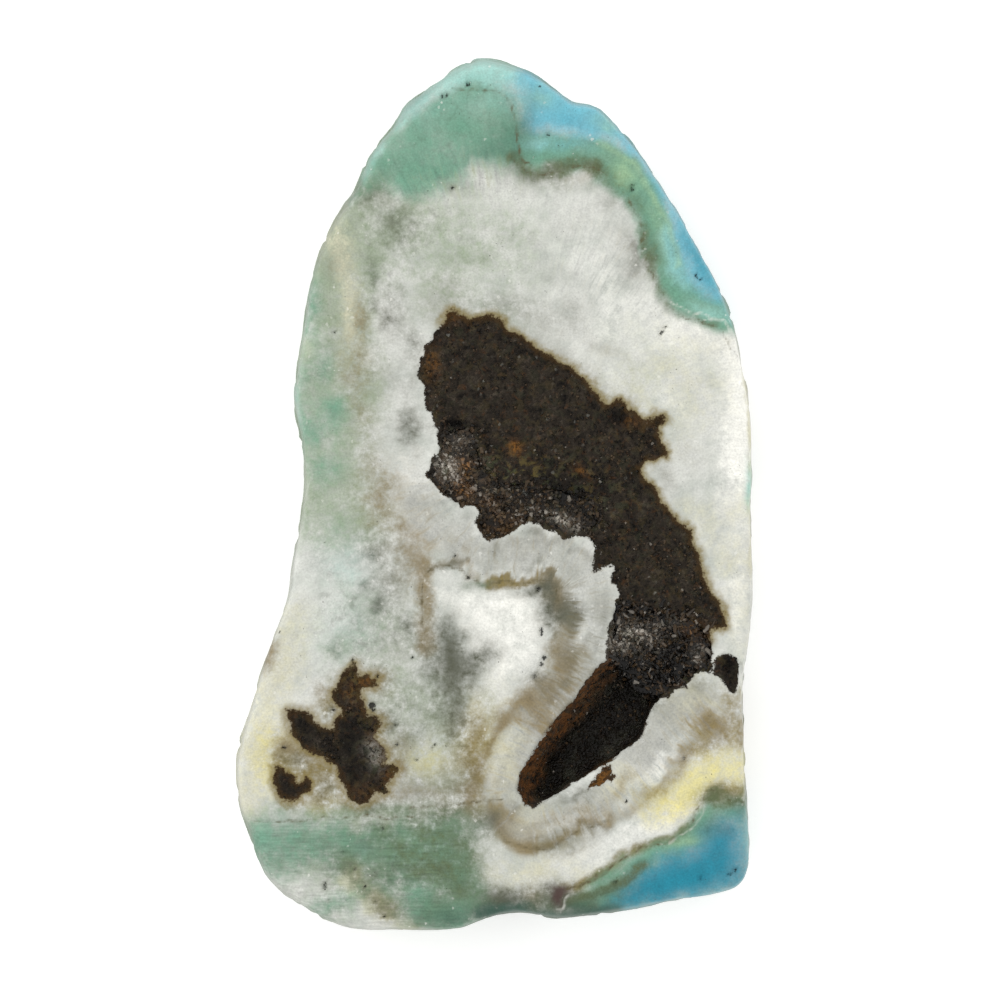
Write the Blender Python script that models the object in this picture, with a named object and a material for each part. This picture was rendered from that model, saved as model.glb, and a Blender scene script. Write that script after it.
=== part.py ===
"""Rough hemimorphite: a slab with a lapped face, a sawn back and its natural rind round the sides.

The stone lies on its sawn back. +Z is up, +X is right and +Y is up on the lapped face. The origin is on the
sawn back, under the middle of the stone's box. A brown matrix is grown through the stone. It is a little
softer, so it lies slightly below the face, and it opens into a deep vug and two hollows lined with crystals.
"""

import math

import bmesh
import bpy
import numpy as np
from mathutils import Matrix, Vector, noise

# Driving dimensions, in millimetres
LENGTH = 65.0  # along Y
THICKNESS = 8.0  # from the sawn back to the lapped face
DRAWN_LENGTH = 65.0  # the length that the outlines below are drawn at
MATRIX_SINK = 0.22  # how far the matrix lies below the face
VUG_DEPTH = 3.0
JUNCTION_DEPTH = 1.7
LEDGE_DEPTH = 1.3
BRANCH_DEPTH = 1.2
EDGE_PIT_DEPTH = 1.0
STEP_DROP = 0.2  # the saw step across the lower left of the face
STEP_Y = -24.2
BACK_INSET = 1.6  # how far the sides draw in to the sawn back
RIND_RELIEF = 0.6  # depth of the furrows between the rind's lumps
RIND_LUMP = 3.4  # size of those lumps
CRUST_GAP = 0.35  # between a crust and its hollow
CRUST_THICKNESS = 0.5

RIM_POINTS = 168
SIDE_LEVELS = 7
FACE_CELL = 4.0
MATRIX_CELL = 1.4
VUG_CELL = 0.9
PATCH_CELL = 1.5
EDGE_PIT_CELL = 0.4
HOLLOW_CELL = 3.0
CRUST_CELL = 0.8

MM = 0.001 * LENGTH / DRAWN_LENGTH

# Outline of the stone, anticlockwise from its top
OUTLINE = [
    (-0.5, 32.5), (-3.6, 31.35), (-6.4, 29.2), (-7.5, 27.5), (-9.3, 25.3), (-10.2, 23.1), (-12.1, 20.1),
    (-13.3, 17.5), (-14.1, 13.9), (-14.7, 9.4), (-14.95, 6.8), (-14.4, 3.6), (-14.2, 0.0), (-14.7, -3.4),
    (-15.6, -8.2), (-17.1, -12.3), (-18.4, -16.7), (-19.2, -19.7), (-19.1, -22.7), (-18.3, -25.3),
    (-17.1, -28.4), (-15.1, -30.2), (-13.4, -31.4), (-10.6, -32.4), (-7.65, -32.5), (-3.3, -32.5),
    (-1.0, -31.8), (1.5, -31.2), (4.9, -31.6), (9.5, -31.1), (13.2, -30.4), (17.0, -29.7), (18.6, -28.9),
    (19.05, -26.65), (18.8, -23.4), (18.6, -19.4), (18.7, -17.55), (18.5, -15.2), (18.9, -11.5),
    (19.2, -8.5), (19.25, -5.2), (19.05, -0.9), (19.2, 0.95), (19.05, 6.25), (18.3, 10.2), (17.45, 13.6),
    (14.8, 19.0), (12.6, 22.6), (10.05, 26.3), (7.75, 28.7), (6.9, 29.05), (5.9, 28.95), (4.6, 30.1),
    (2.35, 31.5),
]

# Round the rim: a place, how far the rounded edge reaches in over the face, and how far down the side
RIM_STATIONS = [
    ((-2.0, 32.0), 1.4, 2.6), ((-10.0, 23.0), 1.1, 2.2), ((-14.5, 8.0), 0.7, 1.6),
    ((-15.5, -8.0), 0.6, 1.5), ((-18.7, -22.0), 0.8, 1.7), ((-12.0, -32.0), 0.7, 1.5),
    ((2.0, -31.3), 0.35, 1.0), ((17.0, -29.6), 0.4, 1.1), ((19.0, -10.0), 0.35, 0.9),
    ((19.1, 4.0), 0.3, 0.9), ((15.0, 18.0), 0.35, 1.0), ((7.0, 28.8), 0.5, 1.3),
]

# The brown matrix, clockwise from its upper left
MATRIX = [
    (-3.4, 13.6), (0.0, 13.1), (1.0, 12.0), (2.8, 11.0), (3.3, 10.1), (5.5, 9.2), (7.0, 8.2), (8.4, 6.6),
    (9.4, 7.1), (9.7, 6.2), (10.8, 5.8), (11.1, 5.0), (12.1, 5.8), (12.9, 5.4), (12.2, 4.2), (12.7, 2.9),
    (11.3, 2.4), (11.0, 1.3), (12.3, -0.8), (14.4, -2.7), (15.0, -4.4), (15.8, -7.0), (17.1, -9.3),
    (17.2, -9.9), (16.0, -10.2), (16.3, -12.0), (16.2, -13.1), (14.8, -13.5), (13.3, -14.4), (11.9, -15.4),
    (8.9, -12.0), (8.95, -9.0), (9.6, -7.8), (9.0, -5.2), (7.3, -5.7), (8.0, -4.0), (7.3, -3.0), (4.6, -1.9),
    (2.8, -2.0), (1.3, -2.5), (0.0, -3.4), (-0.9, -2.8), (-1.5, -0.8), (-2.4, -0.9), (-4.0, 0.1),
    (-5.1, 1.4), (-4.1, 2.7), (-4.0, 4.8), (-5.7, 9.1), (-5.2, 11.0), (-4.0, 12.2),
]

# The vug's two long sides, each from its mouth in the junction down to its tip
VUG_NEAR_SIDE = [
    (9.6, -11.8), (8.7, -12.3), (7.4, -13.5), (6.2, -15.2), (4.6, -17.0), (3.3, -18.8), (2.1, -20.8),
    (1.75, -22.3),
]
VUG_FAR_SIDE = [
    (12.5, -14.7), (11.75, -15.6), (11.4, -16.2), (10.9, -17.9), (8.7, -19.7), (6.4, -21.0), (3.8, -22.6),
    (2.8, -23.3),
]

JUNCTION = [
    (9.1, -8.4), (12.0, -8.9), (14.6, -9.6), (15.8, -10.6), (15.9, -12.4), (14.6, -13.2), (13.0, -14.2),
    (11.8, -15.0), (10.2, -13.8), (9.2, -12.4), (9.1, -10.4),
]
LEDGE = [
    (-3.7, 4.4), (-1.8, 4.6), (-1.3, 2.4), (-0.2, 0.9), (2.0, 0.4), (4.4, 0.2), (7.0, -0.7), (7.6, -2.1),
    (6.6, -2.7), (4.6, -1.6), (2.8, -1.7), (1.4, -2.2), (0.0, -3.1), (-0.7, -2.4), (-1.0, -0.7), (-2.6, -0.6),
    (-3.8, 0.4), (-4.6, 1.4), (-3.8, 2.8),
]
BRANCH_HOLE = ((9.35, 5.4), 0.85)

# Smaller patches of matrix, drawn clockwise
LEFT_PATCH = [
    (-15.2, -16.2), (-13.7, -16.6), (-12.3, -17.7), (-11.2, -16.6), (-11.9, -15.0), (-10.4, -12.9),
    (-9.9, -14.2), (-9.7, -16.2), (-8.5, -17.1), (-9.8, -18.3), (-9.2, -19.7), (-7.4, -20.5), (-8.2, -22.2),
    (-9.0, -22.2), (-9.9, -23.2), (-10.9, -22.4), (-11.7, -20.3), (-13.4, -19.3), (-14.8, -18.5),
]
LEFT_SPOT = [
    (-16.2, -20.3), (-15.4, -20.7), (-14.7, -21.6), (-13.8, -21.3), (-14.0, -22.2), (-15.1, -22.9),
    (-16.2, -22.3),
]
RUST_WEDGE = [(7.0, -21.9), (8.1, -20.4), (8.8, -20.4), (8.8, -21.2), (8.0, -21.5)]
EDGE_PIT = [(16.7, -12.7), (17.5, -12.2), (18.1, -13.0), (18.1, -14.3), (17.8, -14.8), (17.2, -13.6)]

# Small pits in the face: place, radius along X, radius along Y
FACE_PITS = [
    ((3.5, -10.3), 0.2, 0.45), ((3.6, -12.3), 0.3, 0.25), ((-1.95, 30.3), 0.25, 0.25),
    ((10.25, 22.7), 0.2, 0.4), ((12.5, 12.05), 0.2, 0.5), ((-12.6, -29.2), 0.2, 0.35),
    ((-10.5, 22.5), 0.25, 0.25), ((-3.85, 29.5), 0.3, 0.2),
]
PIT_DEPTH = 0.45


def clear_scene():
    for item in list(bpy.data.objects):
        bpy.data.objects.remove(item, do_unlink=True)


def finish_material(name, color, roughness):
    material = bpy.data.materials.new(name)
    material.use_nodes = True
    shader = material.node_tree.nodes["Principled BSDF"]
    shader.inputs["Base Color"].default_value = (*color, 1.0)
    shader.inputs["Roughness"].default_value = roughness
    shader.inputs["Metallic"].default_value = 0.0
    return material


def make_object(name, bm, material=None):
    """Turn the mesh's faces outwards, scale it from millimetres to metres and link it as an object."""
    bmesh.ops.recalc_face_normals(bm, faces=bm.faces)
    bmesh.ops.scale(bm, vec=(MM, MM, MM), verts=bm.verts)
    mesh = bpy.data.meshes.new(name)
    bm.to_mesh(mesh)
    bm.free()
    made = bpy.data.objects.new(name, mesh)
    bpy.context.scene.collection.objects.link(made)
    if material:
        mesh.materials.append(material)
    else:
        made.hide_render = True
        made.display_type = "WIRE"
    return made


def boolean(target, tool, operation, self_crossing=False):
    step = target.modifiers.new(tool.name, "BOOLEAN")
    step.operation = operation
    step.solver = "EXACT"
    step.use_self = self_crossing
    step.object = tool


def keep_outer_shell(target):
    """Apply the modifiers, then delete the shells of gaps that crystals have closed off between them."""
    bpy.context.view_layer.update()
    whole = bpy.data.meshes.new_from_object(target.evaluated_get(bpy.context.evaluated_depsgraph_get()))
    target.modifiers.clear()
    bm = bmesh.new()
    bm.from_mesh(whole)
    left = set(bm.faces)
    shells = []
    while left:
        shell = {left.pop()}
        edge_of_shell = list(shell)
        while edge_of_shell:
            face = edge_of_shell.pop()
            near = {f for e in face.edges for f in e.link_faces} & left
            left -= near
            shell |= near
            edge_of_shell.extend(near)
        shells.append(shell)
    outer = max(shells, key=len)
    bmesh.ops.delete(bm, geom=[f for f in bm.faces if f not in outer], context="FACES")
    bm.to_mesh(target.data)
    bm.free()
    bpy.data.meshes.remove(whole)


def smooth_loop(points, count):
    """A closed Catmull-Rom curve through the points, as count points evenly spaced along it."""
    loop = np.array(points, dtype=float)
    before, after, beyond = np.roll(loop, 1, 0), np.roll(loop, -1, 0), np.roll(loop, -2, 0)
    fine = []
    for t in np.linspace(0.0, 1.0, 12, endpoint=False):
        bend = 2 * before - 5 * loop + 4 * after - beyond
        twist = 3 * loop - before - 3 * after + beyond
        fine.append(loop + 0.5 * ((after - before) * t + bend * t * t + twist * t ** 3))
    dense = np.stack(fine, 1).reshape(-1, 2)
    closed = np.vstack([dense, dense[:1]])
    travelled = np.concatenate([[0.0], np.cumsum(np.hypot(*np.diff(closed, axis=0).T))])
    stops = np.linspace(0.0, travelled[-1], count, endpoint=False)
    return np.column_stack([np.interp(stops, travelled, closed[:, axis]) for axis in (0, 1)])


def line_distance(place, points, closed):
    """How far a place is from a line of points."""
    line = np.array(points, dtype=float)
    ends = np.roll(line, -1, 0) if closed else line[1:]
    starts = line if closed else line[:-1]
    along = ends - starts
    reach = ((np.array(place) - starts) * along).sum(1) / (along ** 2).sum(1)
    nearest = starts + along * np.clip(reach, 0.0, 1.0)[:, None]
    return float(np.hypot(*(nearest - np.array(place)).T).min())


def is_inside(place, loop):
    x, y = place
    inside = False
    for (ax, ay), (bx, by) in zip(loop, np.roll(loop, -1, 0)):
        if (ay > y) != (by > y) and x < (bx - ax) * (y - ay) / (by - ay) + ax:
            inside = not inside
    return inside


def depth_inside(place, loop):
    """How far inside the loop a place lies. It is 0 outside."""
    return line_distance(place, loop, True) if is_inside(place, loop) else 0.0


def ease(value):
    value = min(max(value, 0.0), 1.0)
    return value * value * (3.0 - 2.0 * value)


def shrink_loop(loop, amount):
    """Move each point of a clockwise loop inwards."""
    loop = np.array(loop, dtype=float)
    along = np.roll(loop, -1, 0) - np.roll(loop, 1, 0)
    along /= np.hypot(*along.T)[:, None]
    return loop + amount * np.column_stack([along[:, 1], -along[:, 0]])


def rim_size(x, y):
    """The rounded edge's reach over the face and down the side, blended between the stations."""
    total, reach, fall = 0.0, 0.0, 0.0
    for (sx, sy), station_reach, station_fall in RIM_STATIONS:
        share = 1.0 / (math.hypot(x - sx, y - sy) ** 2.5 + 0.5)
        total += share
        reach += share * station_reach
        fall += share * station_fall
    return reach / total, fall / total


def rind_furrow(x, y, z):
    """Depth of the furrow between the rounded lumps of the rind, from 0 to 1."""
    nearest = noise.voronoi(Vector((x, y, z * 1.3)) / RIND_LUMP)[0][0]
    return min(1.0, 1.25 * nearest) ** 2


def step_fall(x, y):
    """How far the saw step lowers the face here. It fades out towards the right."""
    return STEP_DROP * ease((STEP_Y + 0.15 - y) / 0.3) * ease((-4.0 - x) / 8.0)


def face_height(x, y):
    return THICKNESS - step_fall(x, y)


def grid_faces(bm, faces, cell):
    """Cut a flat region along evenly spaced lines both ways."""
    low = [min(v.co[axis] for f in faces for v in f.verts) for axis in (0, 1)]
    high = [max(v.co[axis] for f in faces for v in f.verts) for axis in (0, 1)]
    region = list(faces)
    for axis in (0, 1):
        normal = Vector((1.0, 0.0, 0.0)) if axis == 0 else Vector((0.0, 1.0, 0.0))
        for line in range(math.ceil(low[axis] / cell), math.floor(high[axis] / cell) + 1):
            region = cut_region(bm, region, normal * (line * cell), normal)
    return region


def cut_region(bm, region, place, normal):
    parts = set(region)
    for f in region:
        parts.update(f.edges)
        parts.update(f.verts)
    cut = bmesh.ops.bisect_plane(bm, geom=list(parts), dist=1e-4, plane_co=place, plane_no=normal)
    return [item for item in cut["geom"] if isinstance(item, bmesh.types.BMFace)]


def raise_ring(bm, edges, order, height, inset_at, outline, normals):
    """Extrude the open top edge up by one level, each point drawn in by its own inset."""
    made = bmesh.ops.extrude_edge_only(bm, edges=edges)["geom"]
    for v in [item for item in made if isinstance(item, bmesh.types.BMVert)]:
        x, y = outline[v[order]]
        z = height(x, y)
        inset = inset_at(x, y, z)
        v.co = (x - normals[v[order]][0] * inset, y - normals[v[order]][1] * inset, z)
    top = [item for item in made if isinstance(item, bmesh.types.BMEdge)]
    return [e for e in top if len(e.link_faces) == 1]


def side_inset(x, y, z):
    """The rind draws in to the back in a rounded curve, with furrows between its lumps."""
    middle = 0.55 * THICKNESS
    low = max(0.0, (middle - z) / middle)
    tuck = BACK_INSET * (0.8 + 0.3 * math.sin(0.21 * x + 0.13 * y)) * low ** 2
    fade = 1.0 - 0.75 * ease((z - 0.3 * THICKNESS) / (0.3 * THICKNESS))
    return tuck + RIND_RELIEF * rind_furrow(x, y, z) * fade


def stone_body():
    outline = smooth_loop(OUTLINE, RIM_POINTS)
    along = np.roll(outline, -1, 0) - np.roll(outline, 1, 0)
    along /= np.hypot(*along.T)[:, None]
    normals = np.column_stack([along[:, 1], -along[:, 0]])

    bm = bmesh.new()
    order = bm.verts.layers.int.new("order")
    ring = []
    for number, (x, y) in enumerate(outline):
        inset = side_inset(x, y, 0.0)
        v = bm.verts.new((x - normals[number][0] * inset, y - normals[number][1] * inset, 0.0))
        v[order] = number
        ring.append(v)
    back = bm.faces.new(reversed(ring))
    edges = list(back.edges)

    for level in range(1, SIDE_LEVELS + 1):
        def height(x, y, share=level / SIDE_LEVELS):
            return share * (THICKNESS - rim_size(x, y)[1])
        edges = raise_ring(bm, edges, order, height, side_inset, outline, normals)
    for turn in (0.42, 0.75, 1.0):
        def height(x, y, turn=turn):
            return face_height(x, y) - rim_size(x, y)[1] * (1.0 - math.sin(turn * math.pi / 2))

        def inset_at(x, y, z, turn=turn):
            shoulder = side_inset(x, y, THICKNESS - rim_size(x, y)[1])
            return shoulder + rim_size(x, y)[0] * (1.0 - math.cos(turn * math.pi / 2))
        edges = raise_ring(bm, edges, order, height, inset_at, outline, normals)

    face = bmesh.ops.contextual_create(bm, geom=edges)["faces"]
    face = grid_faces(bm, face, FACE_CELL)
    for line in (STEP_Y - 0.15, STEP_Y + 0.15):
        face = cut_region(bm, face, Vector((0.0, line, 0.0)), Vector((0.0, 1.0, 0.0)))
    for v in {v for f in face for v in f.verts}:
        v.co.z = face_height(v.co.x, v.co.y)
    bmesh.ops.triangulate(bm, faces=bm.faces)
    return bm


def vug_depth(x, y):
    """The vug slopes in gently from its near side and falls steeply under its far side."""
    near = line_distance((x, y), VUG_NEAR_SIDE, False)
    far = line_distance((x, y), VUG_FAR_SIDE, False)
    tip = line_distance((x, y), [VUG_NEAR_SIDE[-1], VUG_FAR_SIDE[-1]], False)
    return VUG_DEPTH * min(ease(near / 2.4 + 0.2), ease(far / 1.5 + 0.6), ease(tip / 2.6 + 0.25))


def matrix_depth(x, y):
    """Depth of the matrix's surface below the lapped face, with the hole beside its branch."""
    grain = 0.06 * noise.noise(Vector((x, y, 3.0)) / 1.7)
    hole, reach = BRANCH_HOLE
    away = math.hypot(x - hole[0], y - hole[1])
    return max(MATRIX_SINK + grain, BRANCH_DEPTH * (1.0 - ease(away / reach)))


def hollow_cutter(name, loop, depth_at, cell):
    """A closed block over the loop whose underside has the hollow's shape."""
    bm = bmesh.new()
    floor = bm.faces.new([bm.verts.new((x, y, 0.0)) for x, y in loop])
    floor = grid_faces(bm, [floor], cell)
    bmesh.ops.triangulate(bm, faces=bm.faces)
    floor = list(bm.faces)
    made = bmesh.ops.extrude_face_region(bm, geom=floor, use_keep_orig=True)["geom"]
    lid = {item for item in made if isinstance(item, bmesh.types.BMVert)}
    for v in bm.verts:
        if v in lid:
            v.co.z = THICKNESS + 1.0
        else:
            v.co.z = face_height(v.co.x, v.co.y) - depth_at(v.co.x, v.co.y)
    return make_object(name, bm)


def patch_depth(x, y):
    return MATRIX_SINK + 0.08 * noise.noise(Vector((x, y, 9.0)))


def edge_pit_depth(x, y):
    return MATRIX_SINK + (EDGE_PIT_DEPTH - MATRIX_SINK) * ease(depth_inside((x, y), EDGE_PIT) / 0.35)


def pit_cutter():
    """Pointed pits, all in one cutter."""
    bm = bmesh.new()
    for (x, y), wide, tall in FACE_PITS:
        place = Matrix.Translation((x, y, face_height(x, y))) @ Matrix.Diagonal((wide, tall, 1.0, 1.0))
        bmesh.ops.create_cone(bm, cap_ends=True, cap_tris=False, segments=7, radius1=0.25, radius2=1.75,
                              depth=2 * PIT_DEPTH, matrix=place)
    return make_object("cut_face_pits", bm)


def druse_hollow(name, loop, depth):
    """A steep-walled hollow with a flat floor, which its crust of crystals hides."""
    return hollow_cutter(name, loop, lambda x, y: depth, HOLLOW_CELL)


def crust_sheet(loop, depth):
    """The crust's own body: a plate with an uneven top that lies in its hollow without touching it."""
    bm = bmesh.new()
    plate = bm.faces.new([bm.verts.new((x, y, 0.0)) for x, y in loop])
    grid_faces(bm, [plate], CRUST_CELL)
    bmesh.ops.triangulate(bm, faces=bm.faces)
    made = bmesh.ops.extrude_face_region(bm, geom=list(bm.faces), use_keep_orig=True)["geom"]
    top = {item for item in made if isinstance(item, bmesh.types.BMVert)}
    for v in bm.verts:
        v.co.z = THICKNESS - depth + CRUST_GAP
        if v in top:
            v.co.z += CRUST_THICKNESS * (1.0 + 0.3 * noise.noise(Vector((v.co.x, v.co.y, 5.0))))
    return bm


def crystal(bm, place, radius, length, lean, heading, turn):
    """One six-sided crystal with a pointed end that stands in the crust and leans its own way."""
    shaft = 0.62 * length
    pose = Matrix.Translation(place) @ Matrix.Rotation(heading, 4, "Z") @ Matrix.Rotation(lean, 4, "X")
    pose = pose @ Matrix.Rotation(turn, 4, "Z") @ Matrix.Translation((0.0, 0.0, shaft / 2))
    made = bmesh.ops.create_cone(bm, cap_ends=True, cap_tris=False, segments=6, radius1=radius,
                                 radius2=0.94 * radius, depth=shaft, matrix=pose)["verts"]
    caps = {f for v in made for f in v.link_faces if len(f.verts) == 6}
    tip = max(caps, key=lambda f: f.calc_center_median().z)
    point = bmesh.ops.poke(bm, faces=[tip])["verts"][0]
    point.co += pose.to_3x3() @ Vector((0.25 * radius, 0.0, length - shaft))


def crust_crystals(name, loop, depth, count, sizes, seed):
    """Crystals of mixed size, scattered with a space kept between them."""
    draw = np.random.default_rng(seed)
    low, high = loop.min(0), loop.max(0)
    root = THICKNESS - depth + CRUST_GAP + 0.55 * CRUST_THICKNESS
    room = THICKNESS - 0.08 - root
    taken = []
    bm = bmesh.new()
    for _ in range(6000):
        place = low + (high - low) * draw.random(2)
        radius = sizes[0] + (sizes[1] - sizes[0]) * draw.random() ** 2
        apart = all(math.hypot(*(place - other)) > 0.8 * (radius + reach) for other, reach in taken)
        if not apart or depth_inside(place, loop) < 0.75 * radius:
            continue
        taken.append((place, radius))
        lean = math.radians(30) * draw.random()
        length = min(radius * (2.2 + 1.2 * draw.random()), room)
        crystal(bm, (*place, root), radius, length, lean, *(2 * math.pi * draw.random(2)))
        if len(taken) == count:
            break
    return make_object(name, bm)


def crust(name, hollow, depth, material, count, sizes, seed):
    loop = shrink_loop(hollow, CRUST_GAP)
    sheet = make_object(name, crust_sheet(loop, depth), material)
    boolean(sheet, crust_crystals(name + "_crystals", loop, depth, count, sizes, seed), "UNION", True)
    keep_outer_shell(sheet)
    return sheet


def hemimorphite_slab(junction, ledge):
    stone = make_object("hemimorphite_slab", stone_body(), finish_material("stone", (0.66, 0.70, 0.62), 0.45))
    cutters = [
        hollow_cutter("cut_matrix", MATRIX, matrix_depth, MATRIX_CELL),
        hollow_cutter("cut_vug", VUG_NEAR_SIDE + VUG_FAR_SIDE[::-1], vug_depth, VUG_CELL),
        hollow_cutter("cut_left_patch", LEFT_PATCH, patch_depth, PATCH_CELL),
        hollow_cutter("cut_left_spot", LEFT_SPOT, patch_depth, PATCH_CELL),
        hollow_cutter("cut_rust_wedge", RUST_WEDGE, patch_depth, PATCH_CELL),
        hollow_cutter("cut_edge_pit", EDGE_PIT, edge_pit_depth, EDGE_PIT_CELL),
        druse_hollow("cut_junction", junction, JUNCTION_DEPTH),
        druse_hollow("cut_ledge", ledge, LEDGE_DEPTH),
        pit_cutter(),
    ]
    for cutter in cutters:
        boolean(stone, cutter, "DIFFERENCE")
    return stone


def main():
    clear_scene()
    junction = smooth_loop(JUNCTION, 26)
    ledge = smooth_loop(LEDGE, 40)
    hemimorphite_slab(junction, ledge)
    dark = finish_material("dark_druse", (0.09, 0.075, 0.065), 0.3)
    brown = finish_material("brown_druse", (0.20, 0.14, 0.09), 0.35)
    crust("junction_druse", junction, JUNCTION_DEPTH, dark, 46, (0.3, 0.65), 11)
    crust("ledge_druse", ledge, LEDGE_DEPTH, brown, 34, (0.25, 0.5), 5)


main()
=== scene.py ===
"""Dresses a rough hemimorphite slab: the banded lapped face, the brown matrix, the vug and the druse."""

import itertools
import math

import bmesh
import bpy
import numpy as np
from bpy.props import FloatProperty, FloatVectorProperty, IntProperty, PointerProperty
from mathutils import Matrix, Vector


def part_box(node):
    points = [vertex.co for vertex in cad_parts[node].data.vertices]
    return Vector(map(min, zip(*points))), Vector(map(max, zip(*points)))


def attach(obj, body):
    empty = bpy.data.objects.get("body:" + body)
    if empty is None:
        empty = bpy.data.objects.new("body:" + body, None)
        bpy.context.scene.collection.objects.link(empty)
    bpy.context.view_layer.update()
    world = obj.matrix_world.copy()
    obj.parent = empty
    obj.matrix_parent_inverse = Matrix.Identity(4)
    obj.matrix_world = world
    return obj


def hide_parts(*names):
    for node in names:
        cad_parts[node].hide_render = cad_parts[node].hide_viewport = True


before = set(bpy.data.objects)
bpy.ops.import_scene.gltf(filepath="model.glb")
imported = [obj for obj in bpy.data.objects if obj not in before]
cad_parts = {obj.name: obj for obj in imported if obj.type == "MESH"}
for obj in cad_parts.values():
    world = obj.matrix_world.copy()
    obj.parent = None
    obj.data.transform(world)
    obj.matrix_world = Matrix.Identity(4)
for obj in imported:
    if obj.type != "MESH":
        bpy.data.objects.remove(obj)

bl_info = {
    "name": "Rough hemimorphite slab",
    "version": (1, 0, 0),
    "blender": (4, 5, 0),
    "location": "3D View > Sidebar > Mineral",
    "description": "Banded lapped face, sunken brown matrix, vug and druse of a rough hemimorphite slab",
    "category": "Object",
}

# Outlines and places below are in millimetres from the middle of the stone's back, and MM makes them metres
MM = 0.001
SLAB = "hemimorphite_slab"
CAD_LOW, CAD_HIGH = (np.array(corner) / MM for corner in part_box(SLAB))
FACE_Z = float(CAD_HIGH[2])

# The photograph's frame
FRAME_WIDTH = 74.34
FRAME_CENTRE = (0.42, -0.48)

# Outlines of the brown matrix, each clockwise
MATRIX = [
    (-3.4, 13.6), (-2.0, 13.0), (0.0, 13.1), (0.6, 12.8), (1.0, 12.0), (2.0, 11.5), (2.8, 11.0), (3.5, 10.4),
    (4.4, 10.0), (5.6, 9.4), (6.3, 8.7), (7.0, 8.2), (7.3, 7.6), (8.5, 6.5), (9.0, 6.8), (9.5, 6.9), (9.9, 6.6),
    (9.7, 6.2), (10.3, 6.2), (10.8, 5.8), (11.1, 5.0), (11.7, 5.4), (12.0, 5.7), (12.4, 5.7), (12.7, 5.3),
    (12.3, 4.8), (12.2, 4.2), (12.4, 3.6), (12.8, 3.2), (12.7, 2.9), (12.1, 2.6), (11.3, 2.4), (10.9, 1.8),
    (11.0, 1.3), (11.6, 0.6), (12.1, 0.0), (12.3, -0.8), (12.9, -1.5), (13.6, -2.1), (14.4, -2.7), (14.6, -3.6),
    (15.0, -4.4), (15.2, -5.2), (15.4, -6.0), (15.8, -7.0), (16.2, -7.8), (16.8, -8.5), (17.1, -9.3),
    (17.2, -9.9), (16.0, -10.0), (16.0, -10.8), (16.3, -11.8), (16.1, -12.4), (16.3, -13.2), (15.4, -13.1),
    (14.8, -13.5), (14.2, -14.2), (13.3, -14.4), (12.7, -14.9), (11.9, -15.4), (11.5, -16.0), (11.2, -17.2),
    (10.9, -17.9), (10.0, -18.5), (9.2, -19.1), (8.7, -19.7), (8.0, -20.1), (7.2, -20.4), (6.4, -21.0),
    (5.5, -21.7), (4.7, -22.2), (3.8, -22.6), (3.4, -23.0), (2.9, -23.3), (2.3, -23.1), (1.8, -22.5),
    (1.8, -21.9), (2.1, -20.8), (2.8, -19.8), (3.3, -18.8), (4.0, -18.0), (4.6, -17.0), (5.5, -16.0),
    (6.2, -15.2), (6.6, -14.5), (7.4, -13.5), (8.0, -12.9), (8.5, -12.2), (8.5, -11.0), (8.6, -10.0), (8.95, -9.0),
    (9.0, -8.1), (9.4, -7.7), (9.2, -6.9), (8.8, -6.3), (8.9, -5.3), (8.3, -5.3), (7.3, -5.9), (7.6, -5.0),
    (7.5, -4.0), (7.2, -3.5), (6.8, -3.1), (6.2, -3.0), (5.6, -3.3), (5.0, -3.2), (4.4, -2.9), (3.8, -2.5),
    (3.2, -2.1), (2.6, -2.1), (1.9, -2.4), (1.4, -2.8), (0.9, -3.1), (0.0, -3.4), (-0.3, -3.5), (-0.9, -2.8), (-1.2, -2.0),
    (-1.1, -1.2), (-1.5, -0.8), (-2.4, -0.9), (-3.2, -0.2), (-4.0, 0.1), (-4.5, 0.8), (-5.1, 1.4), (-4.9, 1.8),
    (-4.1, 2.7), (-4.0, 3.0), (-4.1, 4.2), (-4.0, 4.8), (-4.3, 5.3), (-4.9, 6.5), (-5.3, 8.0), (-5.7, 9.1),
    (-5.4, 9.9), (-5.0, 10.3), (-5.2, 11.0), (-4.7, 11.5), (-4.0, 12.2), (-3.7, 13.0),
]
LEFT_PATCH = [
    (-15.2, -16.2), (-14.7, -16.1), (-13.8, -16.3), (-13.6, -17.0), (-12.6, -17.6), (-11.8, -17.5),
    (-11.9, -16.9), (-11.3, -16.6), (-11.4, -15.9), (-11.9, -15.0), (-11.6, -14.3), (-11.3, -13.6),
    (-10.8, -13.3), (-10.4, -12.8), (-10.2, -13.3), (-9.9, -13.8), (-9.3, -13.7), (-8.8, -13.8), (-8.7, -14.2),
    (-9.4, -14.3), (-9.9, -14.5), (-10.0, -15.0), (-9.9, -15.8), (-9.7, -16.5), (-9.1, -16.7), (-8.5, -16.9),
    (-8.4, -17.3), (-8.8, -17.8), (-9.2, -18.1), (-8.6, -18.5), (-8.2, -19.0), (-8.1, -19.7), (-8.5, -20.1),
    (-7.6, -20.2), (-7.2, -20.6), (-7.7, -21.2), (-8.0, -21.6), (-8.0, -22.2), (-8.4, -22.3), (-8.8, -22.0),
    (-8.9, -22.4), (-9.3, -23.0), (-10.1, -23.1), (-10.8, -22.6), (-11.2, -21.7), (-11.5, -20.7), (-12.1, -19.9),
    (-12.9, -19.6), (-13.6, -19.1), (-14.3, -18.9), (-14.8, -18.2), (-15.0, -17.4), (-15.2, -16.9),
]
LEFT_SPOT = [
    (-16.2, -20.3), (-15.6, -20.5), (-15.1, -21.0), (-14.8, -21.6), (-14.4, -21.5), (-14.0, -21.1),
    (-13.7, -21.4), (-13.8, -22.0), (-14.3, -22.2), (-14.6, -22.7), (-15.1, -22.9), (-15.7, -22.8),
    (-16.1, -22.2), (-16.4, -21.6),
]
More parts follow.
